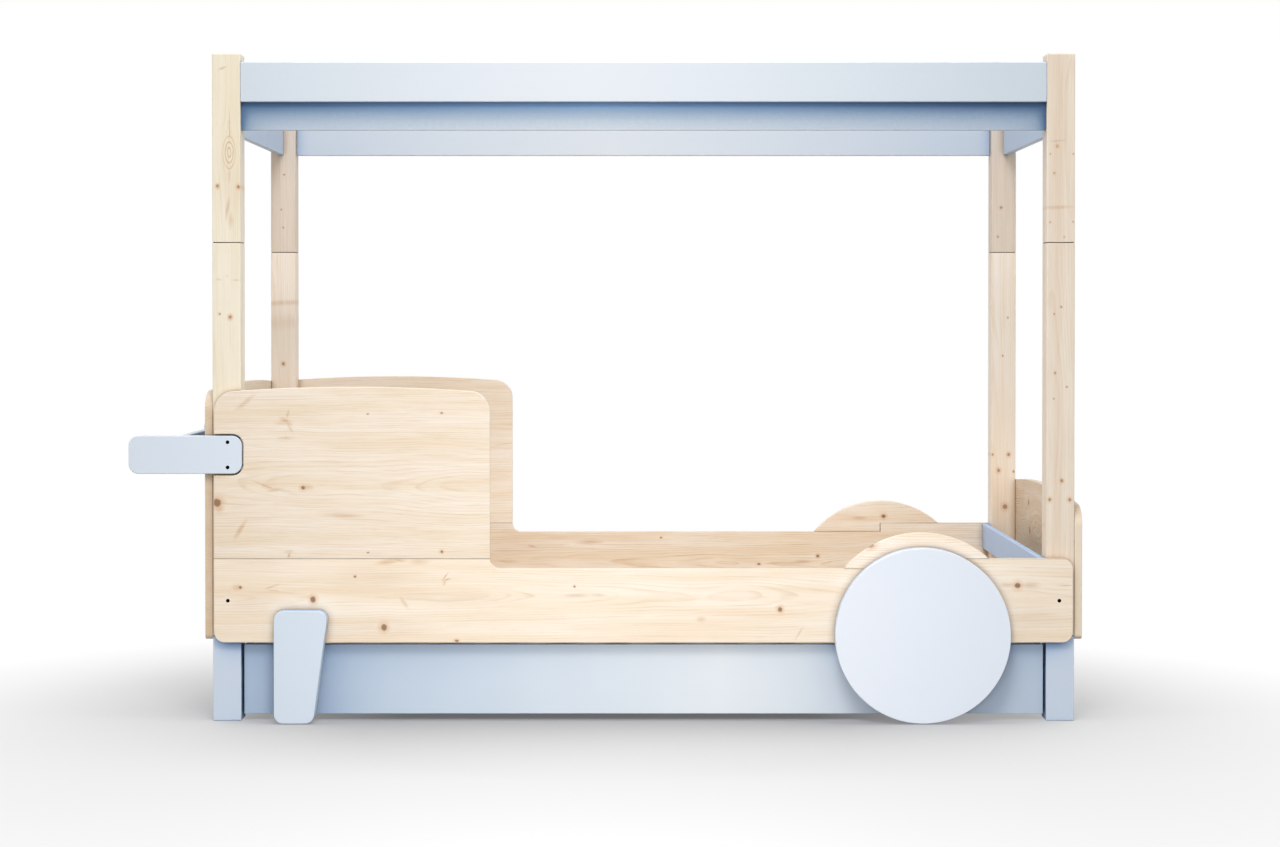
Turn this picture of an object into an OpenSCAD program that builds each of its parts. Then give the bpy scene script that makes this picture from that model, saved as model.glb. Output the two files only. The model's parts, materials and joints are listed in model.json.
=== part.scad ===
// Children's bed in the shape of a car: four posts with a canopy frame, pine sides with a hood,
// a bumper, wheel discs, and a trundle bed on castors that slides out from under the near side.
// X runs along the bed with the hood at -X, -Y is the near side, and Z is up from the floor.

/* [Mattress] */
// Length of the mattress
mattress_l = 1900; // [1700:10:2000]
// Width of the mattress
mattress_w = 900; // [800:10:1200]
// Gap between the mattress and each end rail
mattress_end_gap = 7; // [4:1:20]
// Gap between the mattress and the line of the posts
mattress_side_gap = 8; // [4:1:20]

/* [Posts] */
// Side of the square posts
post_w = 68; // [60:1:80]
// Height of the painted leg at the foot of each post
leg_h = 205; // [199:1:225]
// Length of the lower post, from the leg up to its joint with the upper post
post_lower_h = 950; // [850:5:1050]
// Length of the upper post
post_upper_h = 455; // [400:5:600]
// Chamfer along the edges of legs and posts
post_chamfer = 1.5; // [0.5:0.5:3]
// Radius of the studs that join legs and posts end to end
stud_r = 4; // [3:0.5:6]
// Length of those studs
stud_l = 60; // [50:5:80]

/* [Side boards] */
// Thickness of the pine boards and panels
panel_t = 19; // [16:1:24]
// Distance from a post's outer face to the end of a side board
board_inset = 6; // [2:1:12]
// Height of the side board
side_board_h = 202; // [180:1:230]
// Drop from the side board's top to its low entry run
step_h = 24.5; // [16:0.5:30]
// Radius of the side board's corners
board_corner_r = 25; // [10:1:40]
// Length of the hood board
hood_l = 664; // [560:2:760]
// Height of the hood board at the crown of its arch
hood_h = 414; // [380:2:460]
// Rise of the arch on the hood board and the nose panel
hood_rise = 14; // [6:1:24]
// Radius of the upper corners of hood board and end panels
hood_corner_r = 50; // [30:2:60]

/* [End panels] */
// Height of the end panels' lower edges above the side boards' lower edges
panel_lift = 5.5; // [2:0.5:12]
// Height of the tail panel
tail_panel_h = 342; // [320:2:380]
// Rise of the tail panel's arch
tail_rise = 23; // [10:1:30]
// Radius of the lower corners of the end panels
panel_foot_r = 12; // [6:1:20]
// Thickness of the painted end rails
end_rail_t = 15; // [12:1:20]
// Height of the end rails
end_rail_h = 70; // [60:1:80]
// Distance from the side board's top down to the end rails' top
end_rail_drop = 1.5; // [0:0.5:6]

/* [Bumper] */
// Length of a bumper arm
arm_l = 273; // [240:1:320]
// Height of the bumper arms and crossbar
arm_h = 92; // [84:1:100]
// Height of the arm's lower edge above the top of the side board
arm_lift = 204.5; // [190:0.5:220]
// Distance that an arm reaches in past the post's outer face
arm_reach_in = 73.5; // [64:0.5:90]
// Radius of the arm's corners
arm_corner_r = 24; // [12:1:30]
// Gap between an arm and the edge of its notch in the hood board
arm_gap = 4; // [2:0.5:6]
// Distance from the arms' front ends to the crossbar
crossbar_setback = 118.5; // [60:0.5:130]
// Thickness of the crossbar
crossbar_t = 18; // [15:1:22]

/* [Canopy] */
// Thickness of the canopy boards
canopy_t = 18; // [15:1:22]
// Distance from the posts' tops down to the canopy boards' upper edges
canopy_drop = 20; // [10:1:40]
// Height of the outer canopy boards
canopy_outer_h = 96; // [80:1:120]
// Height of the inner canopy boards
canopy_inner_h = 163; // [140:1:180]

/* [Slatted base] */
// Height of the cleats that carry the slats
cleat_h = 30; // [24:1:34]
// Depth of those cleats from the side board
cleat_t = 28; // [24:1:36]
// Distance from a side board's lower edge up to its cleat
cleat_lift = 3.5; // [2:0.5:8]
// Number of slats
slat_count = 14; // [10:1:18]
// Width of a slat
slat_w = 70; // [60:1:80]
// Thickness of a slat
slat_t = 18; // [15:1:22]
// Gap between a slat's end and the side board
slat_end_gap = 1; // [0.5:0.5:3]

/* [Trundle] */
// Gap between the floor and the trundle's boards
trundle_floor_gap = 16; // [12:1:20]
// Height of the trundle's boards
trundle_h = 168; // [150:1:180]
// Gap between the trundle's top and the side boards above it
trundle_top_gap = 7.5; // [4:0.5:10]
// Gap between the trundle and the legs beside it
trundle_side_gap = 6; // [5:1:20]
// Distance of the trundle's front behind the posts' front faces
trundle_recess = 10; // [5:1:16]
// Thickness of the trundle's boards
trundle_t = 18; // [16:1:22]
// Thickness of the trundle's bottom panel
bottom_t = 12; // [9:1:15]
// Depth of the grooves that hold the bottom panel
groove_d = 6; // [4:1:8]

/* [Castors] */
// Radius of a castor's wheel
castor_r = 20; // [18:1:22]
// Width of a castor's wheel
castor_w = 18; // [14:1:24]
// Radius of a castor's axle
axle_r = 3; // [2.5:0.5:4]
// Radial clearance between a wheel and its axle
axle_clearance = 0.05; // [0.02:0.01:0.1]
// Space between a wheel and the plate above it
castor_headroom = 6; // [4:1:10]
// Thickness of the castor's plate and cheeks
castor_plate_t = 2.5; // [2:0.5:4]
// Length of the castor's plate
castor_plate_l = 56; // [46:1:70]
// Gap between a wheel and each cheek
cheek_gap = 1; // [0.5:0.1:2]
// Distance of a castor from the trundle's end
castor_inset_x = 120; // [80:5:200]
// Distance of a castor from the trundle's front or back board
castor_inset_y = 100; // [45:5:120]

/* [Wheel discs and stand legs] */
// Radius of the wheel discs
disc_r = 210; // [190:1:225]
// Distance from the tail posts' outer faces to the centre of the discs
disc_setback = 371; // [330:1:420]
// Thickness of the discs and stand legs
disc_t = 40; // [30:1:50]
// Gap between the floor and the discs and stand legs
disc_floor_gap = 2; // [1:0.5:5]
// Gap between the side board and the disc that slides with the trundle
disc_clearance = 2; // [1:0.5:4]
// Width of the fender's rim around the disc
fender_rim = 34; // [24:1:50]
// Height of the stand legs
stand_h = 270; // [240:2:290]
// Width of a stand leg at its top
stand_top_w = 129.5; // [110:0.5:150]
// Width of a stand leg at its foot
stand_foot_w = 93.5; // [80:0.5:110]
// Distance from the nose posts' outer faces to the stand legs
stand_setback = 155; // [130:1:200]
// Radius of the stand legs' corners
stand_corner_r = 22; // [10:1:30]
// Height of the blocks that hold disc and stand leg off the trundle's front
spacer_h = 120; // [100:2:130]
// Distance of those blocks below the trundle's top
spacer_drop = 15; // [10:1:20]
// Width of the block behind the disc
disc_spacer_w = 140; // [100:2:180]
// Width of the block behind the stand leg
stand_spacer_w = 64; // [50:2:70]

/* [Fasteners] */
// Distance of the frame bolts from a post's outer face
bolt_inset = 39; // [30:1:44]
// Radius of a frame bolt's shank
bolt_r = 3; // [2.5:0.5:4]
// Radius of a frame bolt's head
bolt_head_r = 4.5; // [4.5:0.5:7]
// Height of a frame bolt's head
bolt_head_h = 6; // [4:1:8]
// Depth of a frame bolt's head below the board's face
bolt_sink = 1; // [0.5:0.5:3]
// Radius of the barrel nuts
barrel_r = 5; // [4.5:0.5:7]
// Length of the barrel nuts
barrel_l = 14; // [12:1:20]
// Radius of the wood screws' shanks
screw_r = 2.25; // [2:0.25:3]
// Radius of the wood screws' heads
screw_head_r = 4.5; // [4:0.25:6]
// Length of the short wood screws
screw_l = 38; // [36:1:42]
// Length of a screw's thread in the panel, hood board, disc or stand leg that it holds
screw_bite = 12; // [8:1:14]
// Radius of the dowels
dowel_r = 4; // [3:0.5:5]
// Length of a dowel in each piece that it joins
dowel_bite = 12; // [8:1:14]
// Gap between the far cleat and the screws that hold the far disc and stand leg
trim_screw_gap = 2; // [1:0.5:4]
// Clearance around bolts, screws, nuts and dowels
bore_clearance = 0.1; // [0.05:0.05:0.2]

/* [Hidden] */
$fn = 96;

pine = "#ecd9ba";
pine_end = "#d6bf98";
paint = "#cfdae5";
steel = "#9a9ea3";
black = "#202124";
tread = "#4a4d52";

// Length by which a cut runs past the solid that it cuts
overrun = 2;

// Plan of the posts, from the middle of the bed
inner_x = mattress_l / 2 + mattress_end_gap + end_rail_t;
outer_x = inner_x + post_w;
inner_y = mattress_w / 2 + mattress_side_gap;
outer_y = inner_y + post_w;
post_mid = post_w / 2;
board_y = outer_y + panel_t;

// Heights
post_joint_z = leg_h + post_lower_h;
post_top_z = post_joint_z + post_upper_h;
trundle_top_z = trundle_floor_gap + trundle_h;
board_z = trundle_top_z + trundle_top_gap;
seam_z = board_z + side_board_h;
run_z = seam_z - step_h;
hood_top_z = seam_z + hood_h;
panel_z = board_z + panel_lift;
nose_panel_h = hood_top_z - panel_z;
end_rail_z = seam_z - end_rail_drop - end_rail_h;
canopy_top_z = post_top_z - canopy_drop;
cleat_z = board_z + cleat_lift;

// Hood board and bumper
board_x = outer_x - board_inset;
hood_end_x = hood_l - board_x;
arm_z = seam_z + arm_lift;
arm_in_x = arm_reach_in - outer_x;
arm_front_x = arm_in_x - arm_l;
notch_r = arm_corner_r + arm_gap;
crossbar_x = arm_front_x + crossbar_setback;

// Wheel discs, fenders and stand legs
disc_x = outer_x - disc_setback;
disc_z = disc_floor_gap + disc_r;
fender_r = disc_r + fender_rim;
fender_dowel_share = 0.5;
stand_x = stand_setback - outer_x;
near_disc_y = -board_y - disc_clearance;
far_disc_y = board_y;

// Trundle
trundle_x = inner_x - trundle_side_gap;
trundle_y = outer_y - trundle_recess;
trundle_in_x = trundle_x - trundle_t;
trundle_in_y = trundle_y - trundle_t;
castor_top_z = 2 * castor_r + castor_headroom;
bottom_z = castor_top_z + castor_plate_t;
spacer_t = board_y + disc_clearance - trundle_y;
spacer_z = trundle_top_z - spacer_drop - spacer_h;
disc_screw_x_share = 0.3;
disc_screw_z_shares = [0.25, 0.8];
castor_x = trundle_in_x - castor_inset_x;
castor_y = trundle_in_y - castor_inset_y;
castor_places = [[-castor_x, -castor_y], [castor_x, -castor_y],
  [-castor_x, castor_y], [castor_x, castor_y]];
cheek_x = castor_w / 2 + cheek_gap;
axle_head_r = axle_r + castor_plate_t / 2;
axle_head_t = castor_plate_t / 2;

// Places of the fasteners
post_screw_l = post_w + screw_bite;
trim_screw_l = trundle_t + spacer_t + screw_bite;
bolt_l = post_mid + barrel_r + bolt_r;
side_bolt_z = board_z + side_board_h / 2;
arm_bolt_shares = [0.17, 0.83];
arm_bolt_zs = [for (share = arm_bolt_shares) arm_z + share * arm_h];
nose_screw_shares = [0.1, 0.53, 0.87];
nose_screw_zs = [for (share = nose_screw_shares) panel_z + share * nose_panel_h];
tail_screw_shares = [0.16, 0.8];
tail_screw_zs = [for (share = tail_screw_shares) panel_z + share * tail_panel_h];
hood_screw_shares = [0.13, 0.92];
hood_screw_zs = [for (share = hood_screw_shares) seam_z + share * (hood_h - hood_rise)];
rail_screw_shares = [0.3, 0.75];
rail_screw_zs = [for (share = rail_screw_shares) end_rail_z + share * end_rail_h];
canopy_dowel_shares = [0.2, 0.8];
canopy_dowel_zs = [for (share = canopy_dowel_shares)
  canopy_top_z - canopy_inner_h + share * canopy_inner_h];
canopy_dowel_mid = 3 * canopy_t / 2;
trundle_dowel_shares = [0.45, 0.85];
trundle_dowel_zs = [for (share = trundle_dowel_shares) trundle_floor_gap + share * trundle_h];
crossbar_dowel_shares = [0.25, 0.75];
crossbar_dowel_zs = [for (share = crossbar_dowel_shares) arm_z + share * arm_h];
seam_dowel_shares = [0.3, 0.6, 0.9];
seam_dowel_xs = [for (share = seam_dowel_shares) share * hood_l - board_x];
cleat_screw_shares = [-0.9, -0.54, -0.18, 0.18, 0.54, 0.9];
cleat_screw_xs = [for (share = cleat_screw_shares) share * inner_x];
far_trim_xs = [disc_x - disc_screw_x_share * disc_r, disc_x + disc_screw_x_share * disc_r,
  stand_x + stand_top_w / 3];
far_trim_z = cleat_z + cleat_h + trim_screw_gap + screw_head_r;

// The model stands with the middle of its outline over the origin
reach_tail = outer_x + panel_t;
reach_near = disc_t - near_disc_y;
reach_far = far_disc_y + disc_t;
shift_x = (-arm_front_x - reach_tail) / 2;
shift_y = (reach_near - reach_far) / 2;

module on_frame() {
  translate([shift_x, shift_y, 0])
    children();
}

// Draws a near-side piece on the near side (-1) or mirrored on the far side (1)
module on_side(side) {
  mirror([0, side > 0 ? 1 : 0, 0])
    children();
}

// Draws a nose-end piece at the nose (-1) or mirrored at the tail (1)
module on_end(end) {
  mirror([end > 0 ? 1 : 0, 0, 0])
    children();
}

// At a post, with X and Y running inward from the post's outer faces
module at_corner(end, side) {
  on_end(end)
    on_side(side)
      translate([-outer_x, -outer_y, 0])
        children();
}

// Stands an outline drawn in X and Z upright, from y towards the bed's middle
module upright(y, thick) {
  translate([0, y, 0])
    mirror([0, 1, 0])
      rotate([90, 0, 0])
        linear_extrude(thick)
          children();
}

// Stands an outline drawn in Y and Z upright, from x towards +X
module crosswise(x, thick) {
  translate([x, 0, 0])
    rotate([90, 0, 90])
      linear_extrude(thick)
        children();
}

// Round bar along X or Y
module bar_x(r, l) {
  rotate([0, 90, 0])
    cylinder(r = r, h = l);
}

module bar_y(r, l) {
  rotate([-90, 0, 0])
    cylinder(r = r, h = l);
}

// Flat outlines

module corner_cut(r) {
  difference() {
    translate([-overrun, -overrun])
      square(r + overrun);
    translate([r, r])
      circle(r);
  }
}

// Rectangle with its own radius at the lower left, lower right, upper right and upper left
module soft_rect(w, h, radii) {
  difference() {
    square([w, h]);
    if (radii[0] > 0)
      corner_cut(radii[0]);
    if (radii[1] > 0)
      translate([w, 0])
        mirror([1, 0])
          corner_cut(radii[1]);
    if (radii[2] > 0)
      translate([w, h])
        rotate(180)
          corner_cut(radii[2]);
    if (radii[3] > 0)
      translate([0, h])
        mirror([0, 1])
          corner_cut(radii[3]);
  }
}

// Board outline with an arched top and round upper corners, from the origin
module arched_outline(w, h, rise, corner_r, foot_r) {
  half = w / 2;
  arch_r = (half * half + rise * rise) / (2 * rise);
  arch_z = h - arch_r;
  corner_x = half - corner_r;
  corner_z = arch_z + sqrt(pow(arch_r - corner_r, 2) - pow(corner_x, 2));
  meet_x = corner_x * arch_r / (arch_r - corner_r);
  translate([half, 0]) {
    translate([-half, 0])
      soft_rect(w, corner_z, [foot_r, foot_r, 0, 0]);
    for (sign = [-1, 1])
      translate([sign * corner_x, corner_z])
        circle(corner_r);
    intersection() {
      translate([-meet_x, foot_r])
        square([2 * meet_x, h - foot_r]);
      translate([0, arch_z])
        circle(arch_r, $fn = 720);
    }
  }
}

// Side board: full height under the hood and behind the wheel, lower along the entry
module side_outline() {
  difference() {
    translate([-board_x, board_z])
      soft_rect(2 * board_x, side_board_h, [board_corner_r, board_corner_r, board_corner_r, 0]);
    translate([hood_end_x + step_h, run_z])
      square([disc_x - hood_end_x - step_h, step_h + overrun]);
    translate([hood_end_x + step_h, run_z + step_h])
      circle(step_h);
  }
}

module hood_outline() {
  difference() {
    translate([-board_x, seam_z])
      arched_outline(hood_l, hood_h, hood_rise, hood_corner_r, 0);
    translate([-board_x - overrun, arm_z - arm_gap])
      soft_rect(board_x + overrun + arm_in_x + arm_gap, arm_h + 2 * arm_gap, [0, notch_r, notch_r, 0]);
  }
}

module fender_outline() {
  difference() {
    translate([disc_x, disc_z])
      circle(fender_r);
    translate([disc_x - fender_r - overrun, disc_z - fender_r - overrun])
      square([fender_r + overrun, run_z - disc_z + fender_r + overrun]);
    translate([disc_x - overrun, disc_z - fender_r - overrun])
      square([fender_r + 2 * overrun, seam_z - disc_z + fender_r + overrun]);
  }
}

// Stand leg: upright on the nose side, slanting in towards its foot on the other
module stand_outline() {
  r = stand_corner_r;
  slant = stand_top_w - stand_foot_w;
  edge = sqrt(slant * slant + stand_h * stand_h);
  normal = [stand_h / edge, -slant / edge];
  low = [stand_foot_w + slant * r / stand_h - r / normal[0], r];
  high = [stand_foot_w + slant * (stand_h - r) / stand_h - r / normal[0], stand_h - r];
  polygon([[0, r], [r, 0], [low[0], 0], low + r * normal,
    high + r * normal, [high[0], stand_h], [r, stand_h], [0, stand_h - r]]);
  for (centre = [low, high, [r, r], [r, stand_h - r]])
    translate(centre)
      circle(r);
}

// Fasteners, each drawn along +Y from the face that it enters, and their bores

module frame_bolt() {
  translate([0, bolt_sink, 0])
    bar_y(bolt_head_r, bolt_head_h);
  translate([0, bolt_sink + bolt_head_h, 0])
    bar_y(bolt_r, panel_t + bolt_l - bolt_sink - bolt_head_h);
}

module frame_bolt_bore() {
  translate([0, -overrun, 0])
    bar_y(bolt_head_r + bore_clearance, overrun + bolt_sink + bolt_head_h);
  bar_y(bolt_r + bore_clearance, panel_t + bolt_l + bore_clearance);
}

module wood_screw(l) {
  head_h = screw_head_r - screw_r;
  rotate([-90, 0, 0])
    cylinder(r1 = screw_head_r, r2 = screw_r, h = head_h);
  translate([0, head_h, 0])
    bar_y(screw_r, l - head_h);
}

module wood_screw_bore(l) {
  head_h = screw_head_r - screw_r;
  rotate([-90, 0, 0])
    cylinder(r1 = screw_head_r + bore_clearance, r2 = screw_r + bore_clearance, h = head_h);
  translate([0, -overrun, 0])
    bar_y(screw_head_r + bore_clearance, overrun);
  bar_y(screw_r + bore_clearance, l + bore_clearance);
}

module dowel_y() {
  translate([0, -dowel_bite, 0])
    bar_y(dowel_r, 2 * dowel_bite);
}

module dowel_y_bore() {
  translate([0, -dowel_bite - bore_clearance, 0])
    bar_y(dowel_r + bore_clearance, 2 * (dowel_bite + bore_clearance));
}

// Where each fastener goes, as places that take the fastener or its bore as children

module at_side_bolts(end, side) {
  at_corner(end, side)
    translate([bolt_inset, -panel_t, side_bolt_z])
      children();
}

module at_arm_bolts(side) {
  for (z = arm_bolt_zs)
    at_corner(-1, side)
      translate([bolt_inset, -panel_t, z])
        children();
}

// Screws through a nose post into the hood board
module at_hood_screws(side) {
  for (z = hood_screw_zs)
    at_corner(-1, side)
      translate([post_mid, post_w, z])
        rotate([0, 0, 180])
          children();
}

// Screws through a post into the end panel behind it
module at_panel_screws(end, side) {
  for (z = end < 0 ? nose_screw_zs : tail_screw_zs)
    at_corner(end, side)
      translate([post_w, post_mid, z])
        rotate([0, 0, 90])
          children();
}

// Screws through an end rail into a post
module at_rail_screws(end, side) {
  for (z = rail_screw_zs)
    at_corner(end, side)
      translate([post_w + end_rail_t, post_mid, z])
        rotate([0, 0, 90])
          children();
}

module at_cleat_screws(side) {
  for (x = cleat_screw_xs)
    on_side(side)
      translate([x, cleat_t - outer_y, cleat_z + cleat_h / 2])
        rotate([0, 0, 180])
          children();
}

// Screws through the far side board into its disc and stand leg
module at_far_trim_screws() {
  for (x = far_trim_xs)
    translate([x, outer_y, far_trim_z])
      children();
}

module at_long_canopy_dowels(end, side) {
  for (z = canopy_dowel_zs)
    at_corner(end, side)
      translate([post_w, canopy_dowel_mid, z])
        rotate([0, 0, 90])
          children();
}

module at_short_canopy_dowels(end, side) {
  for (z = canopy_dowel_zs)
    at_corner(end, side)
      translate([canopy_dowel_mid, post_w, z])
        children();
}

module at_seam_dowels(side) {
  for (x = seam_dowel_xs)
    on_side(side)
      translate([x, -outer_y - panel_t / 2, seam_z])
        rotate([90, 0, 0])
          children();
}

module at_fender_dowels(side) {
  for (place = [[-1, run_z], [1, seam_z]])
    on_side(side)
      translate([disc_x + place[0] * fender_dowel_share * fender_r, -outer_y - panel_t / 2, place[1]])
        rotate([90, 0, 0])
          children();
}

module at_crossbar_dowels(side) {
  for (z = crossbar_dowel_zs)
    on_side(side)
      translate([crossbar_x + crossbar_t / 2, -outer_y, z])
        children();
}

module at_trundle_dowels(end, side) {
  for (z = trundle_dowel_zs)
    on_end(end)
      on_side(side)
        translate([-trundle_x + trundle_t / 2, -trundle_in_y, z])
          children();
}

// Screws through the trundle's front and the spacer blocks into disc and stand leg
module at_trim_screws() {
  for (x = [disc_x - disc_screw_x_share * disc_spacer_w, disc_x + disc_screw_x_share * disc_spacer_w,
            stand_x + stand_foot_w / 2], share = disc_screw_z_shares)
    translate([x, -trundle_in_y, spacer_z + share * spacer_h])
      rotate([0, 0, 180])
        children();
}

// Posts

// Square timber with chamfered edges, standing on z in a corner's own axes
module timber(z, h) {
  c = post_chamfer;
  w = post_w;
  side_view = [[c, 0], [w - c, 0], [w, c], [w, h - c], [w - c, h], [c, h], [0, h - c], [0, c]];
  plan = [[c, 0], [w - c, 0], [w, c], [w, w - c], [w - c, w], [c, w], [0, w - c], [0, c]];
  translate([0, 0, z])
    intersection() {
      linear_extrude(h)
        polygon(plan);
      translate([0, w, 0])
        rotate([90, 0, 0])
          linear_extrude(w)
            polygon(side_view);
      rotate([90, 0, 90])
        linear_extrude(w)
          polygon(side_view);
    }
}

module stud(z) {
  translate([post_mid, post_mid, z - stud_l / 2])
    cylinder(r = stud_r, h = stud_l);
}

module stud_bore(z) {
  translate([post_mid, post_mid, z - stud_l / 2 - bore_clearance])
    cylinder(r = stud_r + bore_clearance, h = stud_l + 2 * bore_clearance);
}

module barrel_nut(z) {
  difference() {
    translate([bolt_inset - barrel_l / 2, post_mid, z])
      bar_x(barrel_r, barrel_l);
    translate([bolt_inset, post_mid - barrel_r - overrun, z])
      bar_y(bolt_r + bore_clearance, 2 * (barrel_r + overrun));
  }
}

module barrel_bore(z) {
  translate([bolt_inset - barrel_l / 2, post_mid, z])
    bar_x(barrel_r + bore_clearance, post_w - bolt_inset + barrel_l / 2 + overrun);
}

module leg(end, side) {
  color(paint)
    difference() {
      at_corner(end, side)
        timber(0, leg_h);
      at_corner(end, side)
        stud_bore(leg_h);
    }
}

module post_lower(end, side) {
  color(pine)
    difference() {
      at_corner(end, side)
        timber(leg_h, post_lower_h);
      at_corner(end, side) {
        stud_bore(leg_h);
        stud_bore(post_joint_z);
        barrel_bore(side_bolt_z);
      }
      at_side_bolts(end, side)
        frame_bolt_bore();
      at_panel_screws(end, side)
        wood_screw_bore(post_screw_l);
      at_rail_screws(end, side)
        wood_screw_bore(screw_l);
      if (end < 0) {
        for (z = arm_bolt_zs)
          at_corner(end, side)
            barrel_bore(z);
        at_arm_bolts(side)
          frame_bolt_bore();
        at_hood_screws(side)
          wood_screw_bore(post_screw_l);
      }
    }
}

module post_upper(end, side) {
  color(pine)
    difference() {
      at_corner(end, side)
        timber(post_joint_z, post_upper_h);
      at_corner(end, side)
        stud_bore(post_joint_z);
      at_long_canopy_dowels(end, side)
        dowel_y_bore();
      at_short_canopy_dowels(end, side)
        dowel_y_bore();
    }
}

module post_studs() {
  color(steel)
    for (end = [-1, 1], side = [-1, 1], z = [leg_h, post_joint_z])
      at_corner(end, side)
        stud(z);
}

// Pine boards

module side_board(side) {
  color(pine)
    difference() {
      on_side(side)
        upright(-board_y, panel_t)
          side_outline();
      for (end = [-1, 1])
        at_side_bolts(end, side)
          frame_bolt_bore();
      at_cleat_screws(side)
        wood_screw_bore(screw_l);
      at_seam_dowels(side)
        dowel_y_bore();
      at_fender_dowels(side)
        dowel_y_bore();
      if (side > 0)
        at_far_trim_screws()
          wood_screw_bore(screw_l);
    }
}

module hood_board(side) {
  color(pine)
    difference() {
      on_side(side)
        upright(-board_y, panel_t)
          hood_outline();
      at_hood_screws(side)
        wood_screw_bore(post_screw_l);
      at_seam_dowels(side)
        dowel_y_bore();
    }
}

module fender(side) {
  color(pine)
    difference() {
      on_side(side)
        upright(-board_y, panel_t)
          fender_outline();
      at_fender_dowels(side)
        dowel_y_bore();
    }
}

module nose_panel() {
  color(pine)
    difference() {
      crosswise(-outer_x - panel_t, panel_t)
        translate([-outer_y, panel_z])
          arched_outline(2 * outer_y, nose_panel_h, hood_rise, hood_corner_r, panel_foot_r);
      for (side = [-1, 1])
        at_panel_screws(-1, side)
          wood_screw_bore(post_screw_l);
    }
}

module tail_panel() {
  color(pine)
    difference() {
      crosswise(outer_x, panel_t)
        translate([-outer_y, panel_z])
          arched_outline(2 * outer_y, tail_panel_h, tail_rise, hood_corner_r, panel_foot_r);
      for (side = [-1, 1])
        at_panel_screws(1, side)
          wood_screw_bore(post_screw_l);
    }
}

// Bumper

module bumper_arm(side) {
  r = arm_corner_r;
  color(paint)
    difference() {
      on_side(side)
        upright(-board_y, panel_t)
          translate([arm_front_x, arm_z])
            soft_rect(arm_l, arm_h, [r, r, r, r]);
      at_arm_bolts(side)
        frame_bolt_bore();
      at_crossbar_dowels(side)
        dowel_y_bore();
    }
}

module bumper_crossbar() {
  color(paint)
    difference() {
      translate([crossbar_x, -outer_y, arm_z])
        cube([crossbar_t, 2 * outer_y, arm_h]);
      for (side = [-1, 1])
        at_crossbar_dowels(side)
          dowel_y_bore();
    }
}

module end_rail(end) {
  color(paint)
    difference() {
      on_end(end)
        translate([-inner_x, -outer_y, end_rail_z])
          cube([end_rail_t, 2 * outer_y, end_rail_h]);
      for (side = [-1, 1])
        at_rail_screws(end, side)
          wood_screw_bore(screw_l);
    }
}

// Canopy frame: an outer and a taller inner board between each two posts

module canopy_outer_long(side) {
  color(paint)
    on_side(side)
      translate([-inner_x, -outer_y, canopy_top_z - canopy_outer_h])
        cube([2 * inner_x, canopy_t, canopy_outer_h]);
}

module canopy_outer_short(end) {
  color(paint)
    on_end(end)
      translate([-outer_x, -inner_y, canopy_top_z - canopy_outer_h])
        cube([canopy_t, 2 * inner_y, canopy_outer_h]);
}

module canopy_inner_long(side) {
  color(paint)
    difference() {
      on_side(side)
        translate([-inner_x, canopy_t - outer_y, canopy_top_z - canopy_inner_h])
          cube([2 * inner_x, canopy_t, canopy_inner_h]);
      for (end = [-1, 1])
        at_long_canopy_dowels(end, side)
          dowel_y_bore();
    }
}

module canopy_inner_short(end) {
  color(paint)
    difference() {
      on_end(end)
        translate([canopy_t - outer_x, -inner_y, canopy_top_z - canopy_inner_h])
          cube([canopy_t, 2 * inner_y, canopy_inner_h]);
      for (side = [-1, 1])
        at_short_canopy_dowels(end, side)
          dowel_y_bore();
    }
}

// Slatted base

module cleat(side) {
  color(pine)
    difference() {
      on_side(side)
        translate([-inner_x, -outer_y, cleat_z])
          cube([2 * inner_x, cleat_t, cleat_h]);
      at_cleat_screws(side)
        wood_screw_bore(screw_l);
    }
}

module slats() {
  pitch = (mattress_l - slat_w) / (slat_count - 1);
  color(pine)
    for (i = [0 : slat_count - 1])
      translate([i * pitch - mattress_l / 2, slat_end_gap - outer_y, cleat_z + cleat_h])
        cube([slat_w, 2 * (outer_y - slat_end_gap), slat_t]);
}

// Fasteners of the bed

module frame_bolts() {
  color(black)
    for (side = [-1, 1]) {
      for (end = [-1, 1])
        at_side_bolts(end, side)
          frame_bolt();
      at_arm_bolts(side)
        frame_bolt();
    }
}

module barrel_nuts() {
  color(steel)
    for (side = [-1, 1]) {
      for (end = [-1, 1])
        at_corner(end, side)
          barrel_nut(side_bolt_z);
      for (z = arm_bolt_zs)
        at_corner(-1, side)
          barrel_nut(z);
    }
}

module panel_screws() {
  color(steel)
    for (side = [-1, 1]) {
      for (end = [-1, 1])
        at_panel_screws(end, side)
          wood_screw(post_screw_l);
      at_hood_screws(side)
        wood_screw(post_screw_l);
    }
}

module frame_screws() {
  color(steel) {
    for (side = [-1, 1]) {
      for (end = [-1, 1])
        at_rail_screws(end, side)
          wood_screw(screw_l);
      at_cleat_screws(side)
        wood_screw(screw_l);
    }
    at_far_trim_screws()
      wood_screw(screw_l);
  }
}

module frame_dowels() {
  color(pine_end)
    for (side = [-1, 1]) {
      for (end = [-1, 1]) {
        at_long_canopy_dowels(end, side)
          dowel_y();
        at_short_canopy_dowels(end, side)
          dowel_y();
      }
      at_seam_dowels(side)
        dowel_y();
      at_fender_dowels(side)
        dowel_y();
      at_crossbar_dowels(side)
        dowel_y();
    }
}

// Discs and stand legs, on the far side board and on the trundle's front

module wheel_disc_far() {
  color(paint)
    difference() {
      translate([disc_x, far_disc_y, disc_z])
        bar_y(disc_r, disc_t);
      at_far_trim_screws()
        wood_screw_bore(screw_l);
    }
}

module stand_leg_far() {
  color(paint)
    difference() {
      translate([stand_x, 0, disc_floor_gap])
        upright(far_disc_y, disc_t)
          stand_outline();
      at_far_trim_screws()
        wood_screw_bore(screw_l);
    }
}

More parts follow.
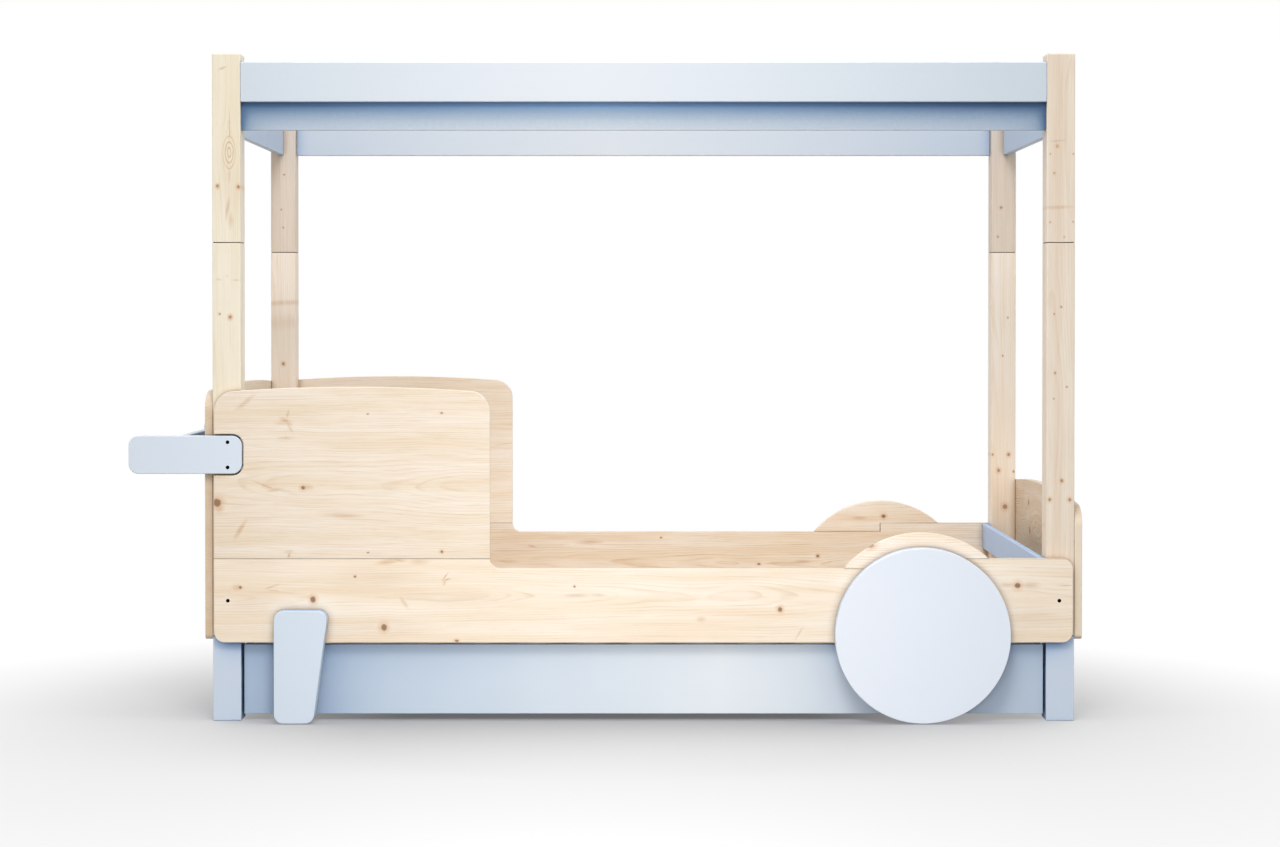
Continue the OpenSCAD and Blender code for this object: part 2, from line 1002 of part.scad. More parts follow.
module wheel_disc_near() {
  color(paint)
    difference() {
      translate([disc_x, near_disc_y - disc_t, disc_z])
        bar_y(disc_r, disc_t);
      at_trim_screws()
        wood_screw_bore(trim_screw_l);
    }
}

module stand_leg_near() {
  color(paint)
    difference() {
      translate([stand_x, 0, disc_floor_gap])
        upright(near_disc_y - disc_t, disc_t)
          stand_outline();
      at_trim_screws()
        wood_screw_bore(trim_screw_l);
    }
}

module front_spacers() {
  color(paint)
    difference() {
      for (block = [[disc_x - disc_spacer_w / 2, disc_spacer_w],
                    [stand_x + (stand_foot_w - stand_spacer_w) / 2, stand_spacer_w]])
        translate([block[0], near_disc_y, spacer_z])
          cube([block[1], spacer_t, spacer_h]);
      at_trim_screws()
        wood_screw_bore(trim_screw_l);
    }
}

// Trundle

// Space that the bottom panel takes, with its edges in the grooves
module bottom_slab() {
  translate([-trundle_in_x - groove_d, -trundle_in_y - groove_d, bottom_z])
    cube([2 * (trundle_in_x + groove_d), 2 * (trundle_in_y + groove_d), bottom_t]);
}

module trundle_long_board(side) {
  color(paint)
    difference() {
      on_side(side)
        translate([-trundle_x, -trundle_y, trundle_floor_gap])
          cube([2 * trundle_x, trundle_t, trundle_h]);
      bottom_slab();
      for (end = [-1, 1])
        at_trundle_dowels(end, side)
          dowel_y_bore();
      if (side < 0)
        at_trim_screws()
          wood_screw_bore(trim_screw_l);
    }
}

module trundle_side(end) {
  color(paint)
    difference() {
      on_end(end)
        translate([-trundle_x, -trundle_in_y, trundle_floor_gap])
          cube([trundle_t, 2 * trundle_in_y, trundle_h]);
      bottom_slab();
      for (side = [-1, 1])
        at_trundle_dowels(end, side)
          dowel_y_bore();
    }
}

module trundle_bottom() {
  color(pine)
    bottom_slab();
}

module trundle_dowels() {
  color(pine_end)
    for (end = [-1, 1], side = [-1, 1])
      at_trundle_dowels(end, side)
        dowel_y();
}

module trundle_screws() {
  color(steel)
    at_trim_screws()
      wood_screw(trim_screw_l);
}

// Castors, each with its wheel turning about X

module castor_cheek() {
  cheek_r = axle_r + 2 * castor_plate_t;
  difference() {
    union() {
      translate([0, 0, castor_r])
        bar_x(cheek_r, castor_plate_t);
      translate([0, -cheek_r, castor_r])
        cube([castor_plate_t, 2 * cheek_r, castor_top_z - castor_r + castor_plate_t / 2]);
    }
    translate([-overrun, 0, castor_r])
      bar_x(axle_r + bore_clearance, castor_plate_t + 2 * overrun);
  }
}

module castor_brackets() {
  plate_w = 2 * (cheek_x + castor_plate_t);
  color(steel)
    for (place = castor_places)
      translate([place[0], place[1], 0]) {
        translate([-plate_w / 2, -castor_plate_l / 2, castor_top_z])
          cube([plate_w, castor_plate_l, castor_plate_t]);
        translate([cheek_x, 0, 0])
          castor_cheek();
        translate([-cheek_x - castor_plate_t, 0, 0])
          castor_cheek();
      }
}

module castor_axles() {
  reach = cheek_x + castor_plate_t + bore_clearance;
  color(steel)
    for (place = castor_places)
      translate([place[0], place[1], castor_r]) {
        translate([-reach, 0, 0])
          bar_x(axle_r, 2 * reach);
        for (x = [reach, -reach - axle_head_t])
          translate([x, 0, 0])
            bar_x(axle_head_r, axle_head_t);
      }
}

module castor_wheel(i) {
  color(tread)
    translate([castor_places[i][0] - castor_w / 2, castor_places[i][1], castor_r])
      difference() {
        bar_x(castor_r, castor_w);
        translate([-overrun, 0, 0])
          bar_x(axle_r + axle_clearance, castor_w + 2 * overrun);
      }
}

on_frame() leg(-1, -1);  // leg_nose_near
on_frame() leg(-1, 1);  // leg_nose_far
on_frame() leg(1, -1);  // leg_tail_near
on_frame() leg(1, 1);  // leg_tail_far
on_frame() post_lower(-1, -1);  // post_lower_nose_near
on_frame() post_lower(-1, 1);  // post_lower_nose_far
on_frame() post_lower(1, -1);  // post_lower_tail_near
on_frame() post_lower(1, 1);  // post_lower_tail_far
on_frame() post_upper(-1, -1);  // post_upper_nose_near
on_frame() post_upper(-1, 1);  // post_upper_nose_far
on_frame() post_upper(1, -1);  // post_upper_tail_near
on_frame() post_upper(1, 1);  // post_upper_tail_far
on_frame() post_studs();
on_frame() side_board(-1);  // side_board_near
on_frame() side_board(1);  // side_board_far
on_frame() hood_board(-1);  // hood_board_near
on_frame() hood_board(1);  // hood_board_far
on_frame() fender(-1);  // fender_near
on_frame() fender(1);  // fender_far
on_frame() nose_panel();
on_frame() tail_panel();
on_frame() bumper_arm(-1);  // bumper_arm_near
on_frame() bumper_arm(1);  // bumper_arm_far
on_frame() bumper_crossbar();
on_frame() end_rail(-1);  // end_rail_nose
on_frame() end_rail(1);  // end_rail_tail
on_frame() canopy_outer_long(-1);  // canopy_outer_near
on_frame() canopy_outer_long(1);  // canopy_outer_far
on_frame() canopy_outer_short(-1);  // canopy_outer_nose
on_frame() canopy_outer_short(1);  // canopy_outer_tail
on_frame() canopy_inner_long(-1);  // canopy_inner_near
on_frame() canopy_inner_long(1);  // canopy_inner_far
on_frame() canopy_inner_short(-1);  // canopy_inner_nose
on_frame() canopy_inner_short(1);  // canopy_inner_tail
on_frame() cleat(-1);  // cleat_near
on_frame() cleat(1);  // cleat_far
on_frame() slats();
on_frame() frame_bolts();
on_frame() barrel_nuts();
on_frame() panel_screws();
on_frame() frame_screws();
on_frame() frame_dowels();
on_frame() wheel_disc_far();
on_frame() stand_leg_far();
on_frame() trundle_long_board(-1);  // trundle_front
on_frame() trundle_long_board(1);  // trundle_back
on_frame() trundle_side(-1);  // trundle_side_nose
on_frame() trundle_side(1);  // trundle_side_tail
on_frame() trundle_bottom();
on_frame() trundle_dowels();
on_frame() trundle_screws();
on_frame() front_spacers();
on_frame() wheel_disc_near();
on_frame() stand_leg_near();
on_frame() castor_brackets();
on_frame() castor_axles();
on_frame() castor_wheel(0);  // castor_wheel_1
on_frame() castor_wheel(1);  // castor_wheel_2
on_frame() castor_wheel(2);  // castor_wheel_3
on_frame() castor_wheel(3);  // castor_wheel_4
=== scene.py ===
# Children's car bed in pine and pale blue paint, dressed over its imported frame
import bpy
import bmesh
import json
import math
import random
from mathutils import Matrix, Vector

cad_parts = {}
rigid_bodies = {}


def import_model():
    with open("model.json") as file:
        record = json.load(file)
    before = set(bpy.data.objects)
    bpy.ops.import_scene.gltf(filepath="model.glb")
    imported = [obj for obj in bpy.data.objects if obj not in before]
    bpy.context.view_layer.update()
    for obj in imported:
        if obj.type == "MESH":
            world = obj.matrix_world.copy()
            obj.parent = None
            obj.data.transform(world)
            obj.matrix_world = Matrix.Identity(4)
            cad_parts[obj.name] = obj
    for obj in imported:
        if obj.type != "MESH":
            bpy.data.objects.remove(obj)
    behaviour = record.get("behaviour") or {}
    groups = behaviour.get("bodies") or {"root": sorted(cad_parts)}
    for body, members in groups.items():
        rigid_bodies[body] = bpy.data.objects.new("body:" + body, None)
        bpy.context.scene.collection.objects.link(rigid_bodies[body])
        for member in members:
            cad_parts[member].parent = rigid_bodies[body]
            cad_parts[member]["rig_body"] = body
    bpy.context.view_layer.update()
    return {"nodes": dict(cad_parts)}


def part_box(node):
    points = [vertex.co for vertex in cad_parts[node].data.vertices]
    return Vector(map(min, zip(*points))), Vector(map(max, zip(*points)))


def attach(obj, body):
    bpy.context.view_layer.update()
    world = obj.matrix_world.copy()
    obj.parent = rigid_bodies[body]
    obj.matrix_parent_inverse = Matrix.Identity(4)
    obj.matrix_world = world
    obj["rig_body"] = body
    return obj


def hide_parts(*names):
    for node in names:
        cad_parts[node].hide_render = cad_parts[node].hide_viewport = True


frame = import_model()
print("frame loaded,", len(frame["nodes"]), "nodes")

# The camera stands square to the near side, about a metre up, tipped down by under a degree
camera = {"place": (0.0872, -6.744, 0.9807), "dip": 0.699, "lens": 72.518, "shift": (-0.00182, -0.06031)}

cameraData = bpy.data.cameras.new("sideCamera")
cameraData.lens = camera["lens"]
cameraData.sensor_width = 36
cameraData.shift_x, cameraData.shift_y = camera["shift"]
cameraObject = bpy.data.objects.new("sideCamera", cameraData)
cameraObject.location = camera["place"]
cameraObject.rotation_euler = (math.radians(90 - camera["dip"]), 0, 0)
bpy.context.scene.collection.objects.link(cameraObject)
bpy.context.scene.camera = cameraObject


def linearColour(code):
    parts = [int(code[i:i + 2], 16) / 255 for i in (1, 3, 5)]
    return [c / 12.92 if c <= 0.04045 else ((c + 0.055) / 1.055) ** 2.4 for c in parts] + [1.0]


smooth = {"interpolation_type": "SMOOTHSTEP"}


# A link is a node, one of its sockets or a plain value
def addNode(tree, kind, links=None, **settings):
    node = tree.nodes.new("ShaderNode" + kind)
    for name, value in settings.items():
        setattr(node, name, value)
    for socket, value in (links or {}).items():
        if isinstance(value, bpy.types.Node):
            value = value.outputs[0]
        if isinstance(value, bpy.types.NodeSocket):
            tree.links.new(value, node.inputs[socket])
        else:
            node.inputs[socket].default_value = value
    return node


def newMaterial(name):
    material = bpy.data.materials.new(name)
    material.use_nodes = True
    material.node_tree.nodes.clear()
    return material, material.node_tree


# Each row is one of the board's own axes: along the grain, across the face, through the board
grainTurns = {
    "x": Matrix(((1, 0, 0), (0, 0, 1), (0, -1, 0))),
    "y": Matrix(((0, 1, 0), (0, 0, 1), (1, 0, 0))),
    "z": Matrix(((0, 0, 1), (1, 0, 0), (0, 1, 0))),
    "slat": Matrix(((0, 1, 0), (-1, 0, 0), (0, 0, 1))),
}

pineTints = {
    "pale": {"pale": "#f5e8d8", "warm": "#eedcc3", "late": "#d3b48c", "flush": "#edcfae"},
    "cream": {"pale": "#fbeedc", "warm": "#f6e3ca", "late": "#d6b488", "flush": "#f0d1a8"},
    "light": {"pale": "#fef3e6", "warm": "#f8e5cd", "late": "#dcbb92", "flush": "#f3d3ae"},
    "yellow": {"pale": "#f6edda", "warm": "#efe3c9", "late": "#d2bc93", "flush": "#ecd5b0"},
    "amber": {"pale": "#e6d2ba", "warm": "#ddc5a8", "late": "#b89670", "flush": "#d9b48e"},
    "pink": {"pale": "#f1e4d3", "warm": "#e8d5bf", "late": "#cbaa86", "flush": "#e8c7a5"},
    # A darker copy of the pink, which stands for painted shade on the far upper posts
    "rosy": {"pale": "#e6d8c8", "warm": "#ddcab5", "late": "#be9e7c", "flush": "#dfbf9e"},
}

# Tones that every pine board shares; the dust tone is painted contact shade
woodTones = {name: linearColour(code) for name, code in {
    "eye": "#cfae82", "stain": "#c99c70", "halo": "#d99f6c", "knot": "#86643f", "end": "#cfae82",
    "rubbed": "#f8efe2", "seam": "#4a3628", "dust": "#9c7a56"}.items()}

# How strongly each kind of stain shows, how far a knot outgrows its mark, and the stray marks' sizes in mm
stainStrength = {"tinge": 0.2, "stain": 0.5, "smear": 0.75, "streak": 0.95}
knotGrowth = {"knot": 1.3, "pin": 1.1}
straySizes = {"pin": (1.5, 3), "knot": (4, 6.5), "stain": (8, 16)}
strayMargin = 8


# Marks that nobody chose one by one, for the boards that the eye passes over
def strayMarks(node, face, count, seed):
    dice = random.Random(seed)
    low, high = (1000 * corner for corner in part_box(node))
    axes = ["xyz".index(letter) for letter in face]
    marks = []
    for _ in range(count):
        a, b = (dice.uniform(low[axis] + strayMargin, high[axis] - strayMargin) for axis in axes)
        kind = dice.choice(["pin", "pin", "knot", "stain"])
        sizes = {name: dice.uniform(*span) for name, span in straySizes.items()}
        marks.append((kind, a, b, sizes[kind], dice.uniform(1, 1.6)))
    return marks


# Pine under a thin satin lacquer: planed growth rings as faint lines and pointed arches, small knots with
# a warm halo, fine fibres that catch the light along the grain, rings again on the cut ends
def pineMaterial(name, piece):
    material, tree = newMaterial(name)
    tint = {key: linearColour(code) for key, code in pineTints[piece["tint"]].items()}
    low, high = (1000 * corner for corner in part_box(piece["node"]))
    turn = Matrix.Rotation(piece.get("lean", 0.02), 3, "Y") @ grainTurns[piece["grain"]]
    middle = turn @ ((low + high) / 2)
    place = addNode(tree, "Mapping", {"Vector": addNode(tree, "TexCoord").outputs["Object"],
                                      "Rotation": turn.to_euler(), "Scale": (1000, 1000, 1000)})  # now in mm

    # The trunk wandered a few centimetres over a board's length, and the rings follow it
    sway = piece.get("sway", (16, 34))
    longPlace = addNode(tree, "VectorMath", {0: place, 1: (1 / 430, 1 / 170, 1 / 170)}, operation="MULTIPLY")
    wander = addNode(tree, "TexNoise", {"Vector": longPlace, "Scale": 1, "Detail": 3, "Roughness": 0.42})
    wandered = addNode(tree, "VectorMath", {0: wander.outputs["Color"], 1: (0, sway[0], sway[1]), 2: place},
                       operation="MULTIPLY_ADD")

    # Knots, pin knots and stains, each an uneven ellipse that the grain flows round
    raggedNoise = addNode(tree, "TexNoise", {"Vector": place, "Scale": 0.16, "Detail": 2})
    ragged = addNode(tree, "VectorMath", {0: raggedNoise.outputs["Color"], 1: (3.4, 3.4, 0), 2: place},
                     operation="MULTIPLY_ADD")
    cores, halos, stains, bends, eyes = [], [], [], [], []
    for kind, a, b, size, stretch, *tilt in piece["marks"]:
        size *= knotGrowth.get(kind, 1)
        spot = Vector((0, a, b)) if piece["grain"] == "y" else Vector((a, low.y, b))
        if piece["grain"] == "slat":
            spot = Vector((a, b, high.z))
        if piece["grain"] == "y":
            spot.x = low.x if low.x > 0 else high.x
        spot = turn @ spot + Vector((1.7, 1.7, 0))
        mark = addNode(tree, "Mapping", {
            "Vector": ragged, "Location": spot, "Rotation": (0, 0, math.radians(sum(tilt))),
            "Scale": (size * stretch, size, 1e6)}, vector_type="TEXTURE")
        radius = addNode(tree, "VectorMath", {0: mark}, operation="LENGTH").outputs["Value"]
        if kind == "eye":  # where the saw skimmed a knot under the face, its rings show as a drop
            widths = addNode(tree, "Math", {0: radius, 1: 3.4}, operation="MULTIPLY")
            turns = addNode(tree, "Math", {0: widths}, operation="FRACT")
            ringLine = addNode(tree, "MapRange", {"Value": turns, "From Min": 0.5, "From Max": 0.85,
                                                  "To Max": 0.75}, **smooth)
            fading = addNode(tree, "MapRange", {"Value": radius, "From Min": 1.2, "From Max": 0.6}, **smooth)
            eyes.append(addNode(tree, "Math", {0: ringLine, 1: fading}, operation="MULTIPLY"))
        elif kind in ("knot", "pin"):
            for shares, outer, inner in ((cores, 1.35, 0.7), (halos, 3.2, 0.6)):
                shares.append(addNode(tree, "MapRange", {"Value": radius, "From Min": outer,
                                                         "From Max": inner}, **smooth))
        else:
            stains.append(addNode(tree, "MapRange", {"Value": radius, "From Min": 1.5, "From Max": 0,
                                                     "To Max": stainStrength[kind]}, **smooth))
        if kind in ("knot", "eye"):
            side = addNode(tree, "SeparateXYZ", {0: mark}).outputs["Y"]
            swell = addNode(tree, "Math", {0: radius, 1: radius, 2: 0.6}, operation="MULTIPLY_ADD")
            push = addNode(tree, "Math", {0: side, 1: swell}, operation="DIVIDE")
            bends.append(addNode(tree, "Math", {0: push, 1: size}, operation="MULTIPLY"))

    def together(nodes, operation):
        total = 0.0
        for node in nodes:
            total = addNode(tree, "Math", {0: node, 1: total}, operation=operation)
        return total

    core, halo, stain, eye = (together(nodes, "MAXIMUM") for nodes in (cores, halos, stains, eyes))
    bend = addNode(tree, "CombineXYZ", {"Y": together(bends, "ADD")})
    flowed = addNode(tree, "VectorMath", {0: wandered, 1: bend}, operation="SUBTRACT")

    # Growth rings round the pith, which lies beside or behind the board
    pith = piece.get("pith", (20, 60))
    pithPlace = (0, -middle.y - pith[0] - sway[0] / 2, -middle.z - pith[1] - sway[1] / 2)
    fromPith = addNode(tree, "VectorMath", {0: flowed, 1: (0, 1, 1), 2: pithPlace}, operation="MULTIPLY_ADD")
    ringRadius = addNode(tree, "VectorMath", {0: fromPith}, operation="LENGTH").outputs["Value"]
    yearPlace = addNode(tree, "Math", {0: ringRadius, 1: 1 / 19}, operation="MULTIPLY")
    year = addNode(tree, "TexNoise", {"W": yearPlace, "Scale": 1, "Detail": 1}, noise_dimensions="1D")
    yearDrift = addNode(tree, "Math", {0: year, 1: 2.4}, operation="MULTIPLY")
    spacing = piece.get("rings", 4.6)  # mm from ring to ring
    years = addNode(tree, "Math", {0: ringRadius, 1: 1 / spacing, 2: yearDrift}, operation="MULTIPLY_ADD")
    season = addNode(tree, "Math", {0: years}, operation="FRACT")
    rise = addNode(tree, "MapRange", {"Value": season, "From Min": 0.5, "From Max": 0.92}, **smooth)
    fall = addNode(tree, "MapRange", {"Value": season, "From Min": 1.0, "From Max": 0.92}, **smooth)
    latewood = addNode(tree, "Math", {0: rise, 1: fall}, operation="MULTIPLY")

    # The lines come and go along the board
    patchPlace = addNode(tree, "VectorMath", {0: flowed, 1: (1 / 150, 1 / 22, 1 / 50)}, operation="MULTIPLY")
    patch = addNode(tree, "TexNoise", {"Vector": patchPlace, "Scale": 1, "Detail": 3, "Roughness": 0.6})
    strength = addNode(tree, "MapRange", {"Value": patch, "From Min": 0.4, "From Max": 0.68,
                                          "To Min": 0.06, "To Max": piece.get("lines", 0.6)})
    lines = addNode(tree, "Math", {0: latewood, 1: strength}, operation="MULTIPLY")

    # Broad warm and pale bands, and a flush of resin here and there
    bandPlace = addNode(tree, "VectorMath", {0: flowed, 1: (1 / 620, 1 / 30, 1 / 60)}, operation="MULTIPLY")
    band = addNode(tree, "TexNoise", {"Vector": bandPlace, "Scale": 1, "Detail": 3, "Roughness": 0.6})
    patches = piece.get("patches", 1)
    bandShare = addNode(tree, "MapRange", {"Value": band, "From Min": 0.38, "From Max": 0.64,
                                           "To Max": patches})
    flush = addNode(tree, "MapRange", {"Value": band.outputs["Color"], "From Min": 0.56, "From Max": 0.78,
                                       "To Max": 0.6 * patches})
    layers = [(bandShare, tint["warm"]), (flush, tint["flush"]), (lines, tint["late"])]

    # Long thin streaks a few millimetres across, where the fibres lie denser
    streakPlace = addNode(tree, "VectorMath", {0: flowed, 1: (1 / 120, 1 / 3.2, 1 / 6)}, operation="MULTIPLY")
    streak = addNode(tree, "TexNoise", {"Vector": streakPlace, "Scale": 1, "Detail": 3, "Roughness": 0.65})
    streakShare = addNode(tree, "MapRange", {"Value": streak, "From Min": 0.48, "From Max": 0.78,
                                              "To Max": piece.get("streaks", 0.42)})
    layers.append((streakShare, tint["late"]))

    # Fibres under a millimetre across, drawn 0.9 mm wide so that they show, and short dark resin canals
    fibrePlace = addNode(tree, "VectorMath", {0: place, 1: (1 / 34, 1 / 0.9, 1 / 0.9)}, operation="MULTIPLY")
    fibre = addNode(tree, "TexNoise", {"Vector": fibrePlace, "Scale": 1, "Detail": 2, "Roughness": 0.6})
    canal = addNode(tree, "MapRange", {"Value": fibre, "From Min": 0.6, "From Max": 0.8, "To Max": 0.35})
    layers.append((canal, tint["late"]))

    # Rings of a skimmed knot, then stains that break up into streaks along the grain, then knots
    layers.append((eye, woodTones["eye"]))
    broken = addNode(tree, "MapRange", {"Value": streak, "From Min": 0.3, "From Max": 0.6, "To Min": 0.45})
    stainShare = addNode(tree, "Math", {0: stain, 1: broken}, operation="MULTIPLY")
    layers.append((stainShare, woodTones["stain"]))
    knotDepth = piece.get("knotDepth", 1)
    haloShare = addNode(tree, "Math", {0: halo, 1: 0.5 * knotDepth}, operation="MULTIPLY")
    layers.append((haloShare, woodTones["halo"]))
    coreShare = addNode(tree, "Math", {0: core, 1: 0.9 * knotDepth}, operation="MULTIPLY")
    knotTone = linearColour(piece["knotTone"]) if "knotTone" in piece else woodTones["knot"]
    layers.append((coreShare, knotTone))

    # Cut ends drink more lacquer and go darker
    facing = addNode(tree, "VectorMath", {0: addNode(tree, "NewGeometry").outputs["True Normal"],
                                          1: grainTurns[piece["grain"]][0]}, operation="DOT_PRODUCT")
    endwise = addNode(tree, "Math", {0: facing.outputs["Value"]}, operation="ABSOLUTE")
    endShare = addNode(tree, "MapRange", {"Value": endwise, "From Min": 0.7, "From Max": 1,
                                          "To Max": piece.get("endGrain", 0.5)})
    endTone = linearColour(piece["endTone"]) if "endTone" in piece else woodTones["end"]
    layers.append((endShare, endTone))

    # The sanded arris is a little paler where hands rub it, and a seam holds shadow and dust
    arris = addNode(tree, "Attribute", attribute_name="easedEdge")
    rub = addNode(tree, "MapRange", {"Value": patch, "From Min": 0.3, "From Max": 0.7, "To Max": 0.45})
    worn = addNode(tree, "Math", {0: arris.outputs["Fac"], 1: rub}, operation="MULTIPLY", use_clamp=True)
    layers.append((worn, woodTones["rubbed"]))
    seam = addNode(tree, "Math", {0: arris.outputs["Fac"], 1: -piece.get("seamShade", 0.7)},
                   operation="MULTIPLY", use_clamp=True)
    layers.append((seam, woodTones["seam"]))

    # Painted contact shade: the wood goes a darker, warmer tone close to the pieces that stand near it, read
    # from ambient occlusion
    reach = addNode(tree, "AmbientOcclusion", {"Distance": 0.03}, samples=8)
    paintedContactShade = addNode(tree, "MapRange", {"Value": reach.outputs["AO"], "From Min": 0.9, "From Max": 0.25,
                                       "To Max": 0.75}, **smooth)
    layers.append((paintedContactShade, woodTones["dust"]))

    # Each layer of colour lies over the ones before it, all on the palest wood
    wood = tint["pale"]
    for share, tone in layers:
        wood = addNode(tree, "Mix", {0: share, 6: wood, 7: tone}, data_type="RGBA").outputs[2]

    roughness = addNode(tree, "MapRange", {"Value": fibre, "From Min": 0.3, "From Max": 0.7,
                                           "To Min": 0.4, "To Max": 0.54})
    relief = addNode(tree, "Bump", {"Height": fibre, "Strength": 0.35, "Distance": 0.00012})
    shader = addNode(tree, "BsdfPrincipled", {"Base Color": wood, "Roughness": roughness, "Normal": relief,
                                              "IOR": 1.5, "Coat Weight": 0.12, "Coat Roughness": 0.35})
    addNode(tree, "OutputMaterial", {"Surface": shader})
    return material


# Painted shade: how a coat of paint is darkened and turned towards blue from shut-in corners (0) to open
# surfaces (1)
plainRecessShade = [(0.03, "#1d2f4c"), (0.2, "#5f80ae"), (0.4, "#b4cdec"), (0.62, "#e4eefa"), (0.8, "#ffffff")]
# On the trundle the coat goes near black where shut in, a painted dark shade line along the top of its front
frontRecessShade = [(0.06, "#020304"), (0.1, "#1a2a40"), (0.14, "#cfe3fd"), (0.26, "#ecf5ff"), (0.4, "#f8fbff"),
               (0.6, "#ffffff")]
# On the inner canopy board, the painted shadow that the outer board casts on it, darkest just under its edge
canopyRecessShade = [(0.02, "#4a6c9c"), (0.2, "#86b4ec"), (0.28, "#96c0f2"), (0.455, "#93badf"),
                (0.545, "#94b2cd"), (0.63, "#a8bed6"), (0.715, "#bccbdb"), (0.77, "#cbd7e1"),
                (0.82, "#dfe5ec"), (0.9, "#ffffff")]

paintTones = {"speck": linearColour("#eef2f6"), "rubbed": linearColour("#eaf1fb")}


# Acrylic lacquer sprayed on board: an even satin with a fine orange peel, thinner and paler on rounded edges,
# with painted shade in its corners, under ledges and towards the bed's ends
def paintMaterial(name, look):
    material, tree = newMaterial(name)
    place = addNode(tree, "TexCoord").outputs["Object"]
    # Painted shade: the paint darkens and turns bluer from the bed's middle towards its ends, as the light
    # falls off, with clouds 240 mm across
    cloud = addNode(tree, "TexNoise", {"Vector": place, "Scale": 1000 / 240, "Detail": 2})
    middle, reachAlong = look.get("fade", (0, 1.05))
    along = addNode(tree, "Math", {0: addNode(tree, "SeparateXYZ", {0: place}).outputs["X"], 1: middle},
                    operation="SUBTRACT")
    away = addNode(tree, "Math", {0: along}, operation="ABSOLUTE")
    clouds = addNode(tree, "Math", {0: cloud, 1: 0.2}, operation="MULTIPLY")
    drift = addNode(tree, "Math", {0: away, 1: 1 / reachAlong, 2: clouds}, operation="MULTIPLY_ADD")
    paintedEndShade = addNode(tree, "MapRange", {"Value": drift, "From Min": 0.1, "From Max": 1.1})
    paint = addNode(tree, "Mix", {0: paintedEndShade, 6: linearColour(look["paint"]), 7: linearColour(look["ends"])},
                    data_type="RGBA").outputs[2]
    peel = addNode(tree, "TexNoise", {"Vector": place, "Scale": 1000 / 2.2, "Detail": 1})  # really about 1 mm
    speck = addNode(tree, "MapRange", {"Value": peel, "From Min": 0.62, "From Max": 0.8, "To Max": 0.25})
    paint = addNode(tree, "Mix", {0: speck, 6: paint, 7: paintTones["speck"]}, data_type="RGBA").outputs[2]
    arris = addNode(tree, "Attribute", attribute_name="easedEdge")
    rub = addNode(tree, "TexNoise", {"Vector": place, "Scale": 1000 / 30, "Detail": 3})
    rubbed = addNode(tree, "MapRange", {"Value": rub, "From Min": 0.3, "From Max": 0.65,
                                        "To Max": look.get("rubbed", 0.6)})
    worn = addNode(tree, "Math", {0: arris.outputs["Fac"], 1: rubbed}, operation="MULTIPLY", use_clamp=True)
    paint = addNode(tree, "Mix", {0: worn, 6: paint, 7: paintTones["rubbed"]}, data_type="RGBA").outputs[2]
    # Painted shade: the coat goes darker and bluer in corners and under ledges, and darker on faces turned up
    # by the up-facing share
    normal = addNode(tree, "NewGeometry").outputs["Normal"]
    upward = addNode(tree, "VectorMath", {0: normal, 1: (0, 0, 0.9)})
    upwardUnit = addNode(tree, "VectorMath", {0: upward}, operation="NORMALIZE")
    reach = addNode(tree, "AmbientOcclusion", {"Distance": look.get("reach", 0.08), "Normal": upwardUnit},
                    samples=16)
    level = addNode(tree, "SeparateXYZ", {0: normal}).outputs["Z"]
    openness = addNode(tree, "Math", {0: level, 1: -look.get("ledge", 0), 2: reach.outputs["AO"]},
                       operation="MULTIPLY_ADD", use_clamp=True)
    depth = addNode(tree, "ValToRGB", {"Fac": openness})
    stops = depth.color_ramp.elements
    for position, code in look.get("recessShade", plainRecessShade):
        stop = stops.new(position)
        stop.color = linearColour(code)
    stops.remove(stops[0])
    paint = addNode(tree, "Mix", {0: 1.0, 6: paint, 7: depth}, data_type="RGBA",
                    blend_type="MULTIPLY").outputs[2]
    # A wider, softer painted shade lies on shut-in parts, and more of it towards the bed's ends
    if "deepen" in look:
        shade = look["deepen"]
        if "reach" in shade:
            reach = addNode(tree, "AmbientOcclusion", {"Distance": shade["reach"], "Normal": upwardUnit},
                            samples=16)
        shutIn = addNode(tree, "MapRange", {"Value": reach.outputs["AO"], "From Min": shade["from"],
                                            "From Max": shade["to"], "To Max": shade["most"]})
        endShare = addNode(tree, "MapRange", {"Value": paintedEndShade, "To Min": shade["middle"]})
        share = addNode(tree, "Math", {0: shutIn, 1: endShare}, operation="MULTIPLY")
        paint = addNode(tree, "Mix", {0: share, 6: paint, 7: linearColour(shade["tone"])}, data_type="RGBA",
                        blend_type="MULTIPLY").outputs[2]
    roughness = addNode(tree, "MapRange", {"Value": cloud, "From Min": 0.3, "From Max": 0.7,
                                           "To Min": 0.42, "To Max": 0.5})
    relief = addNode(tree, "Bump", {"Height": peel, "Strength": 0.3, "Distance": 0.00006})
    shader = addNode(tree, "BsdfPrincipled", {"Base Color": paint, "Roughness": roughness, "Normal": relief,
                                              "IOR": 1.5})
    addNode(tree, "OutputMaterial", {"Surface": shader})
    return material


def bodyOf(nodeName):
    return frame["nodes"][nodeName]["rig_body"]


def pieceName(nodeName):
    first, *rest = nodeName.split("_")
    return first + "".join(word.capitalize() for word in rest)


# How boards are cleaned and rounded: lengths in mm, angles in degrees
easing = {"weld": 0.01, "flat": 0.5, "sharp": 30, "leastReach": 16, "seamReach": 0.3, "seamWidth": 0.8,
          "segments": 3, "shadeSharp": 38}


# Edges that hang together, and are longer than a bolt hole, are the ones that a maker rounds
def outlineEdges(bm):
    sharp = {edge for edge in bm.edges if len(edge.link_faces) == 2
             and edge.calc_face_angle(0) > math.radians(easing["sharp"])}
    outline = []
    while sharp:
        group, front = [], [sharp.pop()]
        while front:
            edge = front.pop()
            group.append(edge)
            for vert in edge.verts:
                for other in vert.link_edges:
                    if other in sharp:
                        sharp.discard(other)
                        front.append(other)
        points = [vert.co for edge in group for vert in edge.verts]
        reach = max(max(p[i] for p in points) - min(p[i] for p in points) for i in range(3))
        if reach * 1000 > easing["leastReach"]:
            outline += group
    return outline


